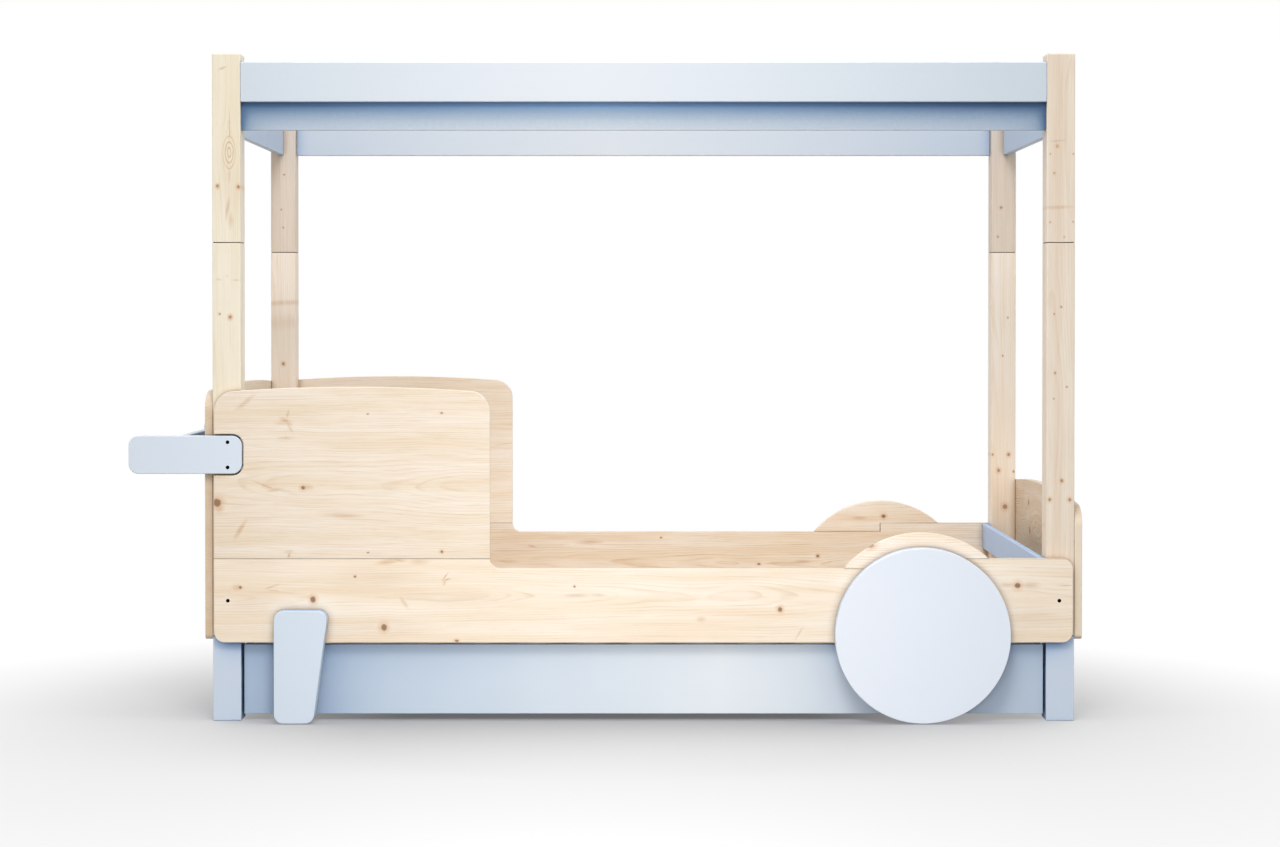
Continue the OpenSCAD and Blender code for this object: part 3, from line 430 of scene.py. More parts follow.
# A copy of a CAD board with its edges rounded over, which then stands for that board
def easedPiece(nodeName, look, material):
    source = frame["nodes"][nodeName]
    bm = bmesh.new()
    bm.from_mesh(source.data)
    bmesh.ops.remove_doubles(bm, verts=bm.verts, dist=easing["weld"] / 1000)
    bmesh.ops.dissolve_limit(bm, angle_limit=math.radians(easing["flat"]), verts=bm.verts, edges=bm.edges)
    arris = bm.faces.layers.float.new("easedEdge")
    seamed, rounded = [], []
    for edge in outlineEdges(bm):
        level = sum(vert.co.z for vert in edge.verts) / 2 * 1000
        tight = any(abs(level - seam) < easing["seamReach"] for seam in look.get("seams", []))
        (seamed if tight else rounded).append(edge)
    seamWidth = look.get("seamWidth", easing["seamWidth"])
    for edges, width, mark in ((seamed, seamWidth, -1), (rounded, look["ease"], 1)):
        edges = [edge for edge in edges if edge.is_valid]
        if edges:
            made = bmesh.ops.bevel(bm, geom=edges, offset=width / 1000, offset_type="OFFSET",
                                   segments=easing["segments"], profile=0.5, affect="EDGES", material=-1,
                                   clamp_overlap=False)
            for face in made["faces"]:
                face[arris] = mark
    mesh = bpy.data.meshes.new(pieceName(nodeName))
    bm.to_mesh(mesh)
    bm.free()
    if "custom_normal" in mesh.attributes:
        mesh.attributes.remove(mesh.attributes["custom_normal"])
    mesh.materials.clear()
    mesh.materials.append(material)
    mesh.shade_smooth()
    mesh.set_sharp_from_angle(angle=math.radians(easing["shadeSharp"]))
    piece = bpy.data.objects.new(pieceName(nodeName), mesh)
    bpy.context.scene.collection.objects.link(piece)
    evened = piece.modifiers.new("evened", "WEIGHTED_NORMAL")  # broad faces stay flat beside round edges
    evened.keep_sharp = True
    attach(piece, bodyOf(nodeName))
    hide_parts(nodeName)


def dressPine(look):
    easedPiece(look["node"], look, pineMaterial(pieceName(look["node"]) + "Pine", look))


def dressPainted(look):
    material = paintMaterial(look["name"] + "Lacquer", look)
    for nodeName in look["nodes"]:
        easedPiece(nodeName, {"slot": "pale_blue_paint", **look}, material)


# Heights in mm at which one board meets the next
seamLevels = {"legTop": 205, "fenderSeat": 369, "boardSeam": 393.5, "postJoint": 1155}

# Side boards. A mark is its kind, its place along and up in mm, its size, its length by width and any tilt
sideLook = {"slot": "pine", "grain": "x", "ease": 1.6, "seams": [seamLevels["boardSeam"]]}
sideBoardNear = {
    "node": "side_board_near", "tint": "cream", "pith": (8, 46), "sway": (18, 44), "rings": 5.2,
    "lean": 0.03, "streaks": 0.12, "lines": 0.42, "patches": 1.1,
    "marks": [
        ("tinge", -860, 290, 36, 2.4), ("tinge", -560, 340, 40, 3.2), ("tinge", -540, 225, 32, 4),
        ("tinge", -330, 300, 18, 6), ("tinge", -840, 385, 12, 7), ("tinge", 1030, 250, 30, 2.4),
        ("pin", -880.9, 324.3, 2.4, 1.2), ("stain", -890, 324, 8, 1.5),
        ("knot", -705.5, 295.4, 5.2, 0.85), ("knot", -534.9, 228.1, 5.6, 0.9),
        ("pin", -604.6, 350.7, 2.0, 1.1),
        ("smear", -527.7, 386, 6.5, 4.2, 8), ("smear", -500, 390, 4, 5, -6), ("smear", -520, 386, 4, 6, 5),
        ("stain", -452, 386, 7, 3.4), ("streak", -388, 350, 1.9, 7, 52), ("streak", -382, 344, 1.6, 6, 12),
        ("stain", -389, 337, 5, 1.6, 80),
        ("stain", -486.8, 288.2, 5, 3.6, -55), ("pin", -359.5, 196, 2.6, 1.4),
        ("stain", -806, 326, 2.6, 8, 16), ("stain", -802, 317, 2.4, 7, -8),
        ("pin", -76, 326.7, 2.0, 1), ("stain", -71, 305, 5.5, 6, 2), ("stain", -20, 306, 4, 5, -3),
        ("knot", 418.9, 271.4, 4.2, 0.9), ("stain", 229, 247.4, 7, 1.7),
        ("stain", 464.6, 213.7, 3, 6, 58), ("knot", 990.8, 329.1, 4.6, 1.05),
        ("stain", 1022, 329.5, 9, 2.6), ("streak", 1106, 329, 1.5, 13), ("stain", 965, 331, 7, 2.5),
    ],
}
dressPine({**sideLook, **sideBoardNear})

sideBoardFar = {
    "node": "side_board_far", "tint": "light", "pith": (-14, 40), "sway": (20, 40), "rings": 4.8,
    "lean": -0.02, "lines": 0.8,
    "marks": [
        ("tinge", -295, 325, 60, 2.2), ("knot", 582.4, 299.8, 2.6, 1.1),
        ("pin", 416.1, 277.3, 2.2, 1.6), ("stain", 540, 285, 6, 4), ("smear", -225, 328, 3, 5, -10),
        ("stain", -60, 340, 7, 5), ("pin", 140, 352, 1.8, 1.2), ("knot", -640, 250, 5, 1),
        ("pin", 930, 300, 2.4, 1.1),
    ],
}
dressPine({**sideLook, **sideBoardFar})

hoodBoardNear = {
    "node": "hood_board_near", "tint": "pale", "pith": (-30, 88), "sway": (26, 40), "rings": 5.4,
    "lean": -0.03, "lines": 0.5,
    "marks": [
        ("smear", -770, 724, 6.5, 2.6, -32), ("stain", -776, 721, 5, 4.2, 4), ("stain", -762, 712, 4, 4, -62),
        ("stain", -766, 742, 3, 4, 76), ("streak", -770.4, 684.6, 1.5, 3.6),
        ("stain", -772, 684.6, 4, 5), ("knot", -729.5, 564.5, 3.2, 1.1),
        ("stain", -716, 566, 7, 1.8),
        ("knot", -936.1, 528.5, 7, 0.95), ("stain", -930, 512, 9, 1.1),
        ("streak", -822, 570, 1.7, 17, -22), ("stain", -800, 559, 4, 4, 12),
        ("smear", -880.9, 463.6, 6, 4.2, 58), ("pin", -573.3, 742.3, 1.3, 1.3),
        ("pin", -573.3, 408.3, 1.4, 1.3), ("streak", -763, 402, 3.2, 2.2, 70),
        ("stain", -764, 410, 5, 2.4),
        ("pin", -395.5, 744.7, 1.9, 1.2), ("pin", -395.5, 410.7, 2.6, 1.1),
        ("stain", -640, 498, 8, 6, -3), ("stain", -868, 770, 6, 5, 40), ("stain", -930, 596, 9, 2.6),
    ],
}
dressPine({**sideLook, **hoodBoardNear})

hoodBoardFar = {
    "node": "hood_board_far", "tint": "light", "pith": (40, 90), "sway": (20, 34), "rings": 4.8,
    "lean": 0.02,
    "marks": strayMarks("hood_board_far", "xz", 9, 11),
}
dressPine({**sideLook, **hoodBoardFar})

fenderLook = {**sideLook, "tint": "light", "seamWidth": 1.1, "seamShade": 1, "rings": 4.4,
              "seams": [seamLevels["fenderSeat"], seamLevels["boardSeam"]]}
fenders = [
    {"node": "fender_near", "pith": (-60, 50), "marks": strayMarks("fender_near", "xz", 3, 21)},
    {"node": "fender_far", "pith": (50, 40),
     "marks": [("knot", 768.3, 412.5, 3.6, 1.1), ("stain", 700, 408, 5, 4)]},
]
for fender in fenders:
    dressPine({**fenderLook, **fender})
print("side boards, hood boards and fenders dressed")

# Nose and tail panels, whose grain runs from side to side
nosePanel = {
    "node": "nose_panel", "slot": "pine", "grain": "y", "tint": "pink", "ease": 1.8, "pith": (30, 70),
    "rings": 5, "lines": 0.7, "marks": strayMarks("nose_panel", "yz", 14, 31),
}
dressPine(nosePanel)

tailPanel = {
    "node": "tail_panel", "slot": "pine", "grain": "y", "tint": "amber", "ease": 1.8, "pith": (0, 14),
    "endGrain": 0.85, "endTone": "#f1e3cc", "sway": (40, 90), "rings": 4.4, "lines": 1,
    "marks": [("eye", 60, 420, 56, 3)] + strayMarks("tail_panel", "yz", 4, 37),
}
dressPine(tailPanel)
print("end panels dressed")

# Square posts with their grain upright: the nose end is yellower, the tail end pinker, and the far upper
# posts take a darker copy of the pink as painted shade
postLook = {"slot": "pine", "grain": "z", "ease": 0.6, "seamWidth": 1.6, "seamShade": 1,
            "seams": [seamLevels["legTop"], seamLevels["postJoint"]], "rings": 3.2, "lean": 0.008,
            "sway": (10, 16), "streaks": 0.2, "lines": 0.26, "patches": 0.9, "knotDepth": 0.8,
            "knotTone": "#a06c40"}
posts = [
    {"node": "post_upper_nose_near", "tint": "yellow", "pith": (-4, -44), "marks": [
        ("pin", -936.9, 1291.2, 2.6, 1.2), ("pin", -886.3, 1288.8, 3, 1.2),
        ("streak", -908, 1440, 1.5, 26), ("eye", -908.5, 1372, 18, 2.6), ("stain", -908, 1315, 5, 5),
        ("stain", -936, 1289, 6, 1.6), ("stain", -888, 1290, 5, 2), ("smear", -912, 1240, 5, 6, 8),
        ("smear", -925, 1575, 3, 3.4, 70), ("stain", -905, 1210, 7, 3), ("tinge", -910, 1300, 30, 3)]},
    {"node": "post_lower_nose_near", "tint": "yellow", "pith": (-30, -30), "marks": [
        ("pin", -906.8, 975.5, 3, 1.1), ("pin", -932.1, 982.8, 2, 1.1),
        ("stain", -892, 1064.7, 2.4, 4, 88), ("stain", -934, 1066, 2.4, 3, 96),
        ("stain", -914, 1074.3, 2, 2), ("stain", -906, 975, 7, 1.4)]},
    {"node": "post_upper_tail_near", "tint": "pink", "pith": (26, 30), "knotDepth": 0.6,
     "knotTone": "#b58a54", "marks": [
        ("knot", 1087.5, 1387.6, 2.2, 1.3), ("pin", 1070.6, 1368.3, 1.4, 1.2),
        ("pin", 1126.1, 1368.3, 1.5, 1.2), ("knot", 1080.3, 1322.6, 1.8, 1.2),
        ("pin", 1070.6, 1204.5, 1.7, 1.2), ("pin", 1126.1, 1204.5, 1.5, 1.2),
        ("pin", 1104.4, 1168.3, 1.5, 1.2), ("stain", 1086, 1240, 5, 8, 88),
        ("stain", 1088, 1400, 3, 6, 85)]},
    {"node": "post_lower_tail_near", "tint": "pink", "pith": (-22, 38), "marks": [
        ("pin", 1097.1, 999.6, 1.7, 1.2), ("pin", 1080.3, 982.8, 1.3, 1.2),
        ("pin", 1082.7, 840.6, 1.9, 1.2), ("pin", 1111.6, 806.8, 1.5, 1.2),
        ("pin", 1080.3, 777.9, 1.3, 1.2), ("knot", 1099.6, 580.3, 2.4, 1.2),
        ("pin", 1070.6, 534.5, 3, 1.2), ("pin", 1118.8, 534.5, 3.2, 1.2)]},
    {"node": "post_upper_nose_far", "tint": "rosy", "pith": (24, 34), "marks": [
        ("pin", -912.8, 1372, 1.9, 1.2), ("pin", -921.2, 1275, 1.6, 1.2),
        ("pin", -915.6, 1224, 1.7, 1.2)]},
    {"node": "post_lower_nose_far", "tint": "light", "pith": (-34, 26), "marks": [
        ("knot", -915.6, 844, 2.8, 1.2), ("stain", -908.6, 1014.6, 8, 9, 88),
        ("tinge", -912, 960, 20, 4, 88)]},
    {"node": "post_upper_tail_far", "tint": "rosy", "pith": (30, -36), "marks": [
        ("pin", 1088.6, 1279.8, 2.6, 1.2), ("pin", 1080.2, 1198.8, 2, 1.2)]},
    {"node": "post_lower_tail_far", "tint": "light", "pith": (-28, 32), "marks": [
        ("knot", 1110.9, 590.3, 3, 1.2), ("knot", 1083, 545.7, 3.2, 1.2),
        ("pin", 1124.9, 542.9, 2, 1.2), ("knot", 1101, 444.4, 4.6, 1.1),
        ("pin", 1108.1, 972.7, 1.6, 1.2), ("pin", 1094.2, 866.7, 1.6, 1.2),
        ("pin", 1066.3, 590.3, 2.2, 1.2)]},
]
for post in posts:
    dressPine({**postLook, **post})
print("posts dressed")

# The slatted base: plainer knotty pine, its slats' arrises rounded
slats = {"node": "slats", "slot": "slat_pine", "grain": "slat", "tint": "pale", "ease": 2, "pith": (0, -60),
         "sway": (20, 30), "rings": 4.2, "lines": 0.8, "marks": strayMarks("slats", "xy", 26, 53)}
dressPine(slats)
for nodeName in ("cleat_near", "cleat_far"):
    dressPine({"node": nodeName, "slot": "slat_pine", "grain": "x", "tint": "pale", "ease": 1.2,
               "pith": (30, 40), "rings": 3.8, "marks": strayMarks(nodeName, "xz", 5, 59)})
print("slatted base dressed")

# Painted pieces, all in the one pale blue. The paint goes from the middle of the bed to a painted-shade tone
# at its ends
painted = [
    {"name": "leg", "ease": 0.7, "seams": [seamLevels["legTop"]], "paint": "#d4dfec", "ends": "#d0dcec",
     "nodes": ["leg_nose_near", "leg_nose_far", "leg_tail_near", "leg_tail_far"]},
    {"name": "canopyOuter", "ease": 2.4, "paint": "#dee3e9", "ends": "#cfdae4", "fade": (-0.05, 1.0),
     "nodes": ["canopy_outer_near", "canopy_outer_far", "canopy_outer_nose", "canopy_outer_tail"]},
    {"name": "canopyInner", "ease": 1, "paint": "#e4e9ee", "ends": "#c8d4e2", "fade": (-0.05, 1.0),
     "recessShade": canopyRecessShade, "reach": 0.14,
     "deepen": {"from": 0.72, "to": 0.42, "most": 1, "middle": 0, "tone": "#95a6b3"},
     "nodes": ["canopy_inner_near"]},
    {"name": "canopyFar", "ease": 2.4, "paint": "#dbe2ea", "ends": "#c9d6e6",
     "nodes": ["canopy_inner_far"]},
    # A bluer, darker copy of the paint, standing for painted shade on the short canopy boards
    {"name": "canopyShort", "ease": 2.4, "paint": "#c6d7ec", "ends": "#bfd2ea",
     "nodes": ["canopy_inner_nose", "canopy_inner_tail"]},
    {"name": "bumper", "ease": 2.2, "paint": "#dfe8f2", "ends": "#dce6f1",
     "nodes": ["bumper_arm_near", "bumper_arm_far", "bumper_crossbar"]},
    # A bluer copy of the paint, standing for painted shade on the end rails' inner faces
    {"name": "endRail", "ease": 2.2, "paint": "#b9d6fc", "ends": "#b4d2fa", "reach": 0.1, "rubbed": 0.1,
     "nodes": ["end_rail_nose", "end_rail_tail"]},
    {"name": "disc", "ease": 1.6, "rubbed": 0.2, "ledge": 0.08, "paint": "#f0f3f8", "ends": "#e6eefa",
     "nodes": ["wheel_disc_near", "wheel_disc_far"]},
    {"name": "stand", "ease": 1.6, "rubbed": 0.2, "ledge": 0.2, "paint": "#dce6f2", "ends": "#d5e1ee",
     "nodes": ["stand_leg_near", "stand_leg_far"]},
    {"name": "trundleFront", "ease": 0.8, "paint": "#e6ecf1", "ends": "#c3d4e5", "fade": (0.28, 0.95),
     "recessShade": frontRecessShade, "ledge": 0.45,
     "deepen": {"reach": 0.16, "from": 0.92, "to": 0.5, "most": 0.4, "middle": 0.1, "tone": "#8ca9d0"},
     "nodes": ["trundle_front"]},
    {"name": "trundleBox", "ease": 0.8, "paint": "#e5ebf1", "ends": "#c3d4e5", "recessShade": frontRecessShade,
     "ledge": 0.45, "nodes": ["trundle_back", "trundle_side_nose", "trundle_side_tail"]},
]
for look in painted:
    dressPainted(look)
print("painted boards dressed")


# Birch plywood, sanded and left bare: a lazy rotary-cut figure and thin dark veneer lines on the edges
def plywoodMaterial():
    material, tree = newMaterial("birchPlywood")
    place = addNode(tree, "Mapping", {"Vector": addNode(tree, "TexCoord").outputs["Object"],
                                      "Scale": (1000 / 900, 1000 / 140, 1000 / 700)})
    figure = addNode(tree, "TexNoise", {"Vector": place, "Scale": 1, "Detail": 4, "Distortion": 1.4})
    stripes = addNode(tree, "Math", {0: addNode(tree, "Math", {0: figure, 1: 9}, operation="MULTIPLY")},
                      operation="FRACT")
    veneer = addNode(tree, "Mix", {0: stripes, 6: linearColour("#ead7b8"), 7: linearColour("#dcc39c")},
                     data_type="RGBA").outputs[2]
    depth = addNode(tree, "SeparateXYZ", {0: addNode(tree, "TexCoord").outputs["Object"]}).outputs["Z"]
    ply = addNode(tree, "Math", {0: addNode(tree, "Math", {0: depth, 1: 1000 / 2.4}, operation="MULTIPLY")},
                  operation="FRACT")  # a veneer each 1.2 mm, so a dark one each 2.4 mm
    flat = addNode(tree, "SeparateXYZ", {0: addNode(tree, "NewGeometry").outputs["True Normal"]}).outputs["Z"]
    onEdge = addNode(tree, "MapRange", {"Value": addNode(tree, "Math", {0: flat}, operation="ABSOLUTE"),
                                        "From Min": 0.6, "From Max": 0.4})
    darkPly = addNode(tree, "MapRange", {"Value": ply, "From Min": 0.45, "From Max": 0.55, "To Max": 0.7})
    edgeShare = addNode(tree, "Math", {0: onEdge, 1: darkPly}, operation="MULTIPLY")
    colour = addNode(tree, "Mix", {0: edgeShare, 6: veneer, 7: linearColour("#a98358")},
                     data_type="RGBA").outputs[2]
    fine = addNode(tree, "TexNoise", {"Vector": place, "Scale": 60, "Detail": 2})
    relief = addNode(tree, "Bump", {"Height": fine, "Strength": 0.3, "Distance": 0.0001})
    roughness = addNode(tree, "MapRange", {"Value": fine, "To Min": 0.55, "To Max": 0.7})
    shader = addNode(tree, "BsdfPrincipled", {"Base Color": colour, "Roughness": roughness, "Normal": relief})
    addNode(tree, "OutputMaterial", {"Surface": shader})
    return material


# Turned beech dowels: warm pink-brown with the short dark flecks of beech
def beechMaterial():
    material, tree = newMaterial("turnedBeech")
    place = addNode(tree, "Mapping", {"Vector": addNode(tree, "TexCoord").outputs["Object"],
                                      "Scale": (1000, 1000, 1000)})
    fleck = addNode(tree, "TexNoise", {"Vector": place, "Scale": 1 / 1.5, "Detail": 2})
    share = addNode(tree, "MapRange", {"Value": fleck, "From Min": 0.45, "From Max": 0.75})
    colour = addNode(tree, "Mix", {0: share, 6: linearColour("#d8b28a"), 7: linearColour("#a97b52")},
                     data_type="RGBA").outputs[2]
    shader = addNode(tree, "BsdfPrincipled", {"Base Color": colour, "Roughness": 0.6})
    addNode(tree, "OutputMaterial", {"Surface": shader})
    return material


# Pressed and turned steel: bright zinc with the soft spangle of plating, or black oxide, worn at random
def steelMaterial(name, look):
    material, tree = newMaterial(name)
    place = addNode(tree, "TexCoord").outputs["Object"]
    spangle = addNode(tree, "TexVoronoi", {"Vector": place, "Scale": 1000 / look["grit"]})
    colour = addNode(tree, "Mix", {0: spangle.outputs["Distance"], 6: linearColour(look["light"]),
                                   7: linearColour(look["dark"])}, data_type="RGBA").outputs[2]
    scratch = addNode(tree, "TexNoise", {"Vector": place, "Scale": 1000 / 4, "Detail": 4})
    roughness = addNode(tree, "MapRange", {"Value": scratch, "From Min": 0.3, "From Max": 0.7,
                                           "To Min": look["rough"] - 0.08, "To Max": look["rough"] + 0.1})
    relief = addNode(tree, "Bump", {"Height": scratch, "Strength": 0.2, "Distance": 0.00004})
    shader = addNode(tree, "BsdfPrincipled", {"Base Color": colour, "Roughness": roughness, "Normal": relief,
                                              "Metallic": 1.0})
    addNode(tree, "OutputMaterial", {"Surface": shader})
    return material


# Soft grey tread of a castor: matt elastomer with floor dust rubbed into it
def treadMaterial():
    material, tree = newMaterial("castorTread")
    place = addNode(tree, "TexCoord").outputs["Object"]
    dust = addNode(tree, "TexNoise", {"Vector": place, "Scale": 1000 / 7, "Detail": 4})
    share = addNode(tree, "MapRange", {"Value": dust, "From Min": 0.45, "From Max": 0.7, "To Max": 0.6})
    colour = addNode(tree, "Mix", {0: share, 6: linearColour("#77797c"), 7: linearColour("#a09d97")},
                     data_type="RGBA").outputs[2]
    grain = addNode(tree, "TexNoise", {"Vector": place, "Scale": 1000 / 0.6, "Detail": 1})
    relief = addNode(tree, "Bump", {"Height": grain, "Strength": 0.3, "Distance": 0.00005})
    roughness = addNode(tree, "MapRange", {"Value": dust, "To Min": 0.55, "To Max": 0.85})
    shader = addNode(tree, "BsdfPrincipled", {"Base Color": colour, "Roughness": roughness, "Normal": relief})
    addNode(tree, "OutputMaterial", {"Surface": shader})
    return material


zincLook = {"light": "#c9ccd0", "dark": "#b2b6bc", "grit": 1.6, "rough": 0.34}
blackLook = {"light": "#0d0d0e", "dark": "#070708", "grit": 1.2, "rough": 0.42}
zinc = steelMaterial("zincPlatedSteel", zincLook)
blackSteel = steelMaterial("blackOxideSteel", blackLook)
tread = treadMaterial()
beech = beechMaterial()
plywood = plywoodMaterial()

# Spacer blocks, dowels and hidden steel fixings keep their CAD shapes
plainNodes = {
    "front_spacers": plywood, "frame_dowels": beech, "trundle_dowels": beech, "barrel_nuts": zinc,
    "post_studs": zinc, "panel_screws": zinc, "frame_screws": zinc, "trundle_screws": zinc,
    "castor_axles": zinc,
}
for nodeName, material in plainNodes.items():
    for materialSlot in frame["nodes"][nodeName].material_slots:
        materialSlot.material = material

easedPiece("trundle_bottom", {"ease": 0.6, "slot": "plywood"}, plywood)
easedPiece("castor_brackets", {"ease": 0.4, "slot": "zinc_steel"}, zinc)
print("plywood, dowels and steel dressed")


# Turned and pressed fittings: how near points merge, in mm, and the angle from which shading breaks
fitting = {"weld": 0.005, "shadeSharp": 35}


def finishPiece(bm, name, material, body, slotName, *nodes):
    bmesh.ops.remove_doubles(bm, verts=bm.verts, dist=fitting["weld"] / 1000)
    bmesh.ops.recalc_face_normals(bm, faces=bm.faces)
    mesh = bpy.data.meshes.new(name)
    bm.to_mesh(mesh)
    bm.free()
    mesh.materials.append(material)
    mesh.shade_smooth()
    mesh.set_sharp_from_angle(angle=math.radians(fitting["shadeSharp"]))
    piece = bpy.data.objects.new(name, mesh)
    bpy.context.scene.collection.objects.link(piece)
    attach(piece, body)
    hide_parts(*nodes)


# Socket head bolts, sunk a millimetre into the boards: side boards one each end, arms two. Levels are heights
# at each place along, and faces are the boards' outer faces with the way that they look
bolts = {"headRadius": 4.5, "headHeight": 6, "headSides": 36, "rim": 0.5, "wall": 0.4, "shankRadius": 3,
         "shankSides": 24, "length": 54, "socket": 2.2, "socketDepth": 3.2, "sink": 1,
         "levels": {1091.25: [292.5], -910.75: [292.5, 613.64, 674.36]}, "faces": {-544: 1, 546: -1}}


def addBolt(bm, bolt, x, z, face, outward):
    before = set(bm.verts)
    head = bmesh.ops.create_cone(bm, cap_ends=True, segments=bolt["headSides"], radius1=bolt["headRadius"],
                                 radius2=bolt["headRadius"], depth=bolt["headHeight"])
    headVerts = set(head["verts"])
    top = max((f for f in bm.faces if f.verts[0] in headVerts and len(f.verts) == bolt["headSides"]),
              key=lambda f: f.calc_center_median().z)
    rim = list(top.edges)
    bmesh.ops.inset_region(bm, faces=[top], thickness=bolt["headRadius"] - bolt["socket"] - bolt["wall"])
    for vert in top.verts:  # the inner ring becomes a hexagon
        angle = math.atan2(vert.co.y, vert.co.x)
        reach = bolt["socket"] / math.cos((angle + math.pi / 6) % (math.pi / 3) - math.pi / 6)
        vert.co.x, vert.co.y = reach * math.cos(angle), reach * math.sin(angle)
    socket = bmesh.ops.extrude_face_region(bm, geom=[top])
    sunk = [item for item in socket["geom"] if isinstance(item, bmesh.types.BMVert)]
    bmesh.ops.translate(bm, verts=sunk, vec=(0, 0, -bolt["socketDepth"]))
    bmesh.ops.delete(bm, geom=[top], context="FACES_ONLY")
    bmesh.ops.bevel(bm, geom=[edge for edge in rim if edge.is_valid], offset=bolt["rim"],
                    offset_type="OFFSET", segments=2, profile=0.5, affect="EDGES", material=-1)
    shank = bmesh.ops.create_cone(bm, cap_ends=True, segments=bolt["shankSides"],
                                  radius1=bolt["shankRadius"], radius2=bolt["shankRadius"],
                                  depth=bolt["length"])
    bmesh.ops.translate(bm, verts=shank["verts"], vec=(0, 0, -(bolt["headHeight"] + bolt["length"]) / 2))
    made = [vert for vert in bm.verts if vert not in before]
    bmesh.ops.translate(bm, verts=made, vec=(0, 0, -bolt["headHeight"] / 2 - bolt["sink"]))
    bmesh.ops.rotate(bm, verts=made, matrix=Matrix.Rotation(math.radians(90 * outward), 3, "X"))
    bmesh.ops.translate(bm, verts=made, vec=(x, face, z))


boltMesh = bmesh.new()
for x, levels in bolts["levels"].items():
    for z in levels:
        for face, outward in bolts["faces"].items():
            addBolt(boltMesh, bolts, x, z, face, outward)
bmesh.ops.scale(boltMesh, verts=boltMesh.verts, vec=(0.001, 0.001, 0.001))
finishPiece(boltMesh, "frameBolts", blackSteel, "bed", "black_steel", "frame_bolts")

# Castor wheels, spun: a crowned tread with round shoulders, dished sides and a raised hub
wheel = {"radius": 20, "width": 18, "height": 20, "bore": 3.05, "hub": 7, "hubEase": 0.5, "hubFoot": 1.2,
         "dish": 1.6, "rimFoot": 5, "rim": 4, "rimStep": 0.6, "sideStep": 0.1, "shoulder": 2.6,
         "shoulderCut": 0.9, "crown": 0.15, "crownShare": 0.3, "steps": 48,
         "places": {"castor_wheel_1": (-737.7, -397), "castor_wheel_2": (918.3, -397),
                    "castor_wheel_3": (-737.7, 399), "castor_wheel_4": (918.3, 399)}}


def addWheel(nodeName, look):
    x, y = look["places"][nodeName]
    half, hub, radius = look["width"] / 2, look["hub"], look["radius"]
    profile = [(half, look["bore"]), (half, hub - look["hubEase"]), (half - look["hubEase"], hub),
               (half - look["dish"], hub + look["hubFoot"]), (half - look["dish"], radius - look["rimFoot"]),
               (half - look["rimStep"], radius - look["rim"]),
               (half - look["sideStep"], radius - look["shoulder"]),
               (half - look["shoulderCut"], radius - look["shoulderCut"]),
               (half - look["shoulder"], radius - look["crown"]), (half * look["crownShare"], radius)]
    bm = bmesh.new()
    ring = [bm.verts.new((across, 0, up)) for across, up in profile + [(-a, u) for a, u in reversed(profile)]]
    edges = [bm.edges.new(pair) for pair in zip(ring, ring[1:] + ring[:1])]
    bmesh.ops.spin(bm, geom=ring + edges, cent=(0, 0, 0), axis=(1, 0, 0), angle=math.tau,
                   steps=look["steps"], use_merge=True)
    bmesh.ops.translate(bm, verts=bm.verts, vec=(x, y, look["height"]))
    bmesh.ops.scale(bm, verts=bm.verts, vec=(0.001, 0.001, 0.001))
    finishPiece(bm, pieceName(nodeName), tread, bodyOf(nodeName), "grey_tread", nodeName)


for nodeName in wheel["places"]:
    addWheel(nodeName, wheel)
print("bolts and castors made")

# A pale studio floor in metres: it keeps the bed's soft shadow inside an oval and is plain white outside.
# Near the bed a painted shadow darkens it, and deep under the bed it glows a painted grey
floor = {"size": 40, "colour": "#d9d9d9", "contact": "#a6a6a8", "under": "#565658", "bounce": "#a2a1a0",
         "ovalScale": (1, 0.98, 1), "ovalShift": (0, 0.72, 0), "fadeFrom": 0.565, "fadeTo": 2.1,
         "shadowReach": 0.8, "contactFrom": 0.42, "underFrom": 0.4, "underTo": 0.15}


def floorMaterial(look):
    material, tree = newMaterial("paleFloor")
    place = addNode(tree, "TexCoord").outputs["Object"]
    oval = addNode(tree, "VectorMath", {0: place, 1: look["ovalScale"], 2: look["ovalShift"]},
                   operation="MULTIPLY_ADD")
    distance = addNode(tree, "VectorMath", {0: oval}, operation="LENGTH").outputs["Value"]
    fade = addNode(tree, "MapRange", {"Value": distance, "From Min": look["fadeFrom"],
                                      "From Max": look["fadeTo"]})
    rays = addNode(tree, "LightPath")
    seen = addNode(tree, "Math", {0: rays.outputs["Is Camera Ray"], 1: rays.outputs["Is Glossy Ray"]},
                   operation="MAXIMUM")
    share = addNode(tree, "Math", {0: fade, 1: seen}, operation="MULTIPLY")
    tones = {name: linearColour(look[name]) for name in ("colour", "contact", "under", "bounce")}
    # Painted shadow: near the bed the floor's colour darkens by ambient occlusion
    openness = addNode(tree, "AmbientOcclusion", {"Distance": look["shadowReach"]}, samples=16)
    contact = addNode(tree, "MapRange", {"Value": openness.outputs["AO"], "From Min": look["contactFrom"]})
    shadowedFloor = addNode(tree, "Mix", {0: contact, 6: tones["contact"], 7: tones["colour"]},
                  data_type="RGBA").outputs[2]
    colour = addNode(tree, "Mix", {0: rays.outputs["Is Camera Ray"], 6: tones["bounce"], 7: shadowedFloor},
                     data_type="RGBA").outputs[2]
    # Painted light: in the deepest shade under the bed the floor glows grey to the camera
    under = addNode(tree, "MapRange", {"Value": openness.outputs["AO"], "From Min": look["underFrom"],
                                       "From Max": look["underTo"]})
    underSeen = addNode(tree, "Math", {0: under, 1: rays.outputs["Is Camera Ray"]}, operation="MULTIPLY")
    glow = addNode(tree, "Emission", {"Color": tones["under"], "Strength": underSeen})
    chalk = addNode(tree, "BsdfDiffuse", {"Color": colour, "Roughness": 0.5})
    matt = addNode(tree, "AddShader", {0: chalk, 1: glow})
    white = addNode(tree, "Emission", {"Color": (1, 1, 1, 1), "Strength": 1})
    mixed = addNode(tree, "MixShader", {0: share, 1: matt, 2: white})
    addNode(tree, "OutputMaterial", {"Surface": mixed})
    return material


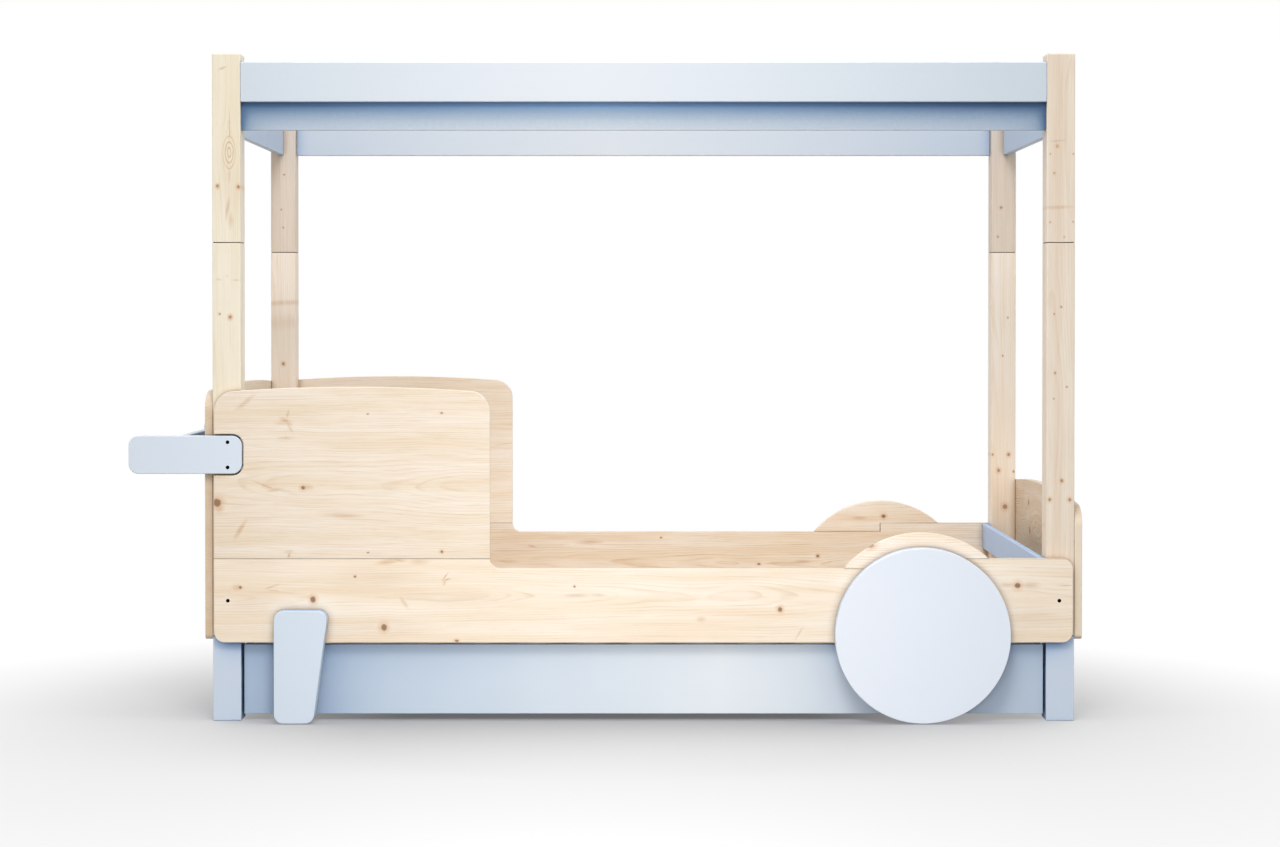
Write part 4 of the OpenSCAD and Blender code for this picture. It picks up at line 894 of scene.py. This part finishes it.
floorMesh = bmesh.new()
bmesh.ops.create_grid(floorMesh, x_segments=1, y_segments=1, size=floor["size"] / 2)
floorData = bpy.data.meshes.new("studioFloor")
floorMesh.to_mesh(floorData)
floorMesh.free()
floorData.materials.append(floorMaterial(floor))
floorObject = bpy.data.objects.new("studioFloor", floorData)
bpy.context.scene.collection.objects.link(floorObject)

# A white room, a gridded soft box over the camera, a strip near the floor and one over the bed
lights = {
    "overhead": {"place": (-0.05, -3.4, 3.4), "aim": (-0.05, -0.5, 0.5), "size": (1.4, 1.2), "spread": 100,
                 "power": 19},
    "lowFront": {"place": (0, -3.4, 0.25), "aim": (0, -0.5, 0.1), "size": (1.2, 0.3), "spread": 100,
                 "power": 6.2},
    "inside": {"place": (0, -0.9, 3.4), "aim": (0, 0.5, 0.4), "size": (1.8, 0.5), "spread": 150,
               "power": 12},
}
roomLevel = 0.74
for lightName, look in lights.items():
    lamp = bpy.data.lights.new(lightName, "AREA")
    lamp.shape = "RECTANGLE"
    lamp.size, lamp.size_y = look["size"]
    lamp.energy = look["power"]
    lamp.spread = math.radians(look["spread"])
    lampObject = bpy.data.objects.new(lightName, lamp)
    lampObject.location = look["place"]
    ray = Vector(look["aim"]) - Vector(look["place"])
    lampObject.rotation_euler = ray.to_track_quat("-Z", "Y").to_euler()
    bpy.context.scene.collection.objects.link(lampObject)

room = bpy.data.worlds.new("whiteRoom")
room.use_nodes = True
room.node_tree.nodes.clear()
roomTree = room.node_tree
roomRays = addNode(roomTree, "LightPath")
roomMirrored = addNode(roomTree, "Math", {0: roomRays.outputs["Is Glossy Ray"],
                                          1: roomRays.outputs["Is Transmission Ray"]}, operation="MAXIMUM")
roomSeen = addNode(roomTree, "Math", {0: roomRays.outputs["Is Camera Ray"], 1: roomMirrored},
                   operation="MAXIMUM")
roomStrength = addNode(roomTree, "MapRange", {"Value": roomSeen, "To Min": roomLevel, "To Max": 1})
roomLight = addNode(roomTree, "Background", {"Color": (1, 1, 1, 1), "Strength": roomStrength})
addNode(roomTree, "OutputWorld", {"Surface": roomLight})
bpy.context.scene.world = room
bpy.context.scene.view_settings.view_transform = "Standard"
print("floor and lights set")
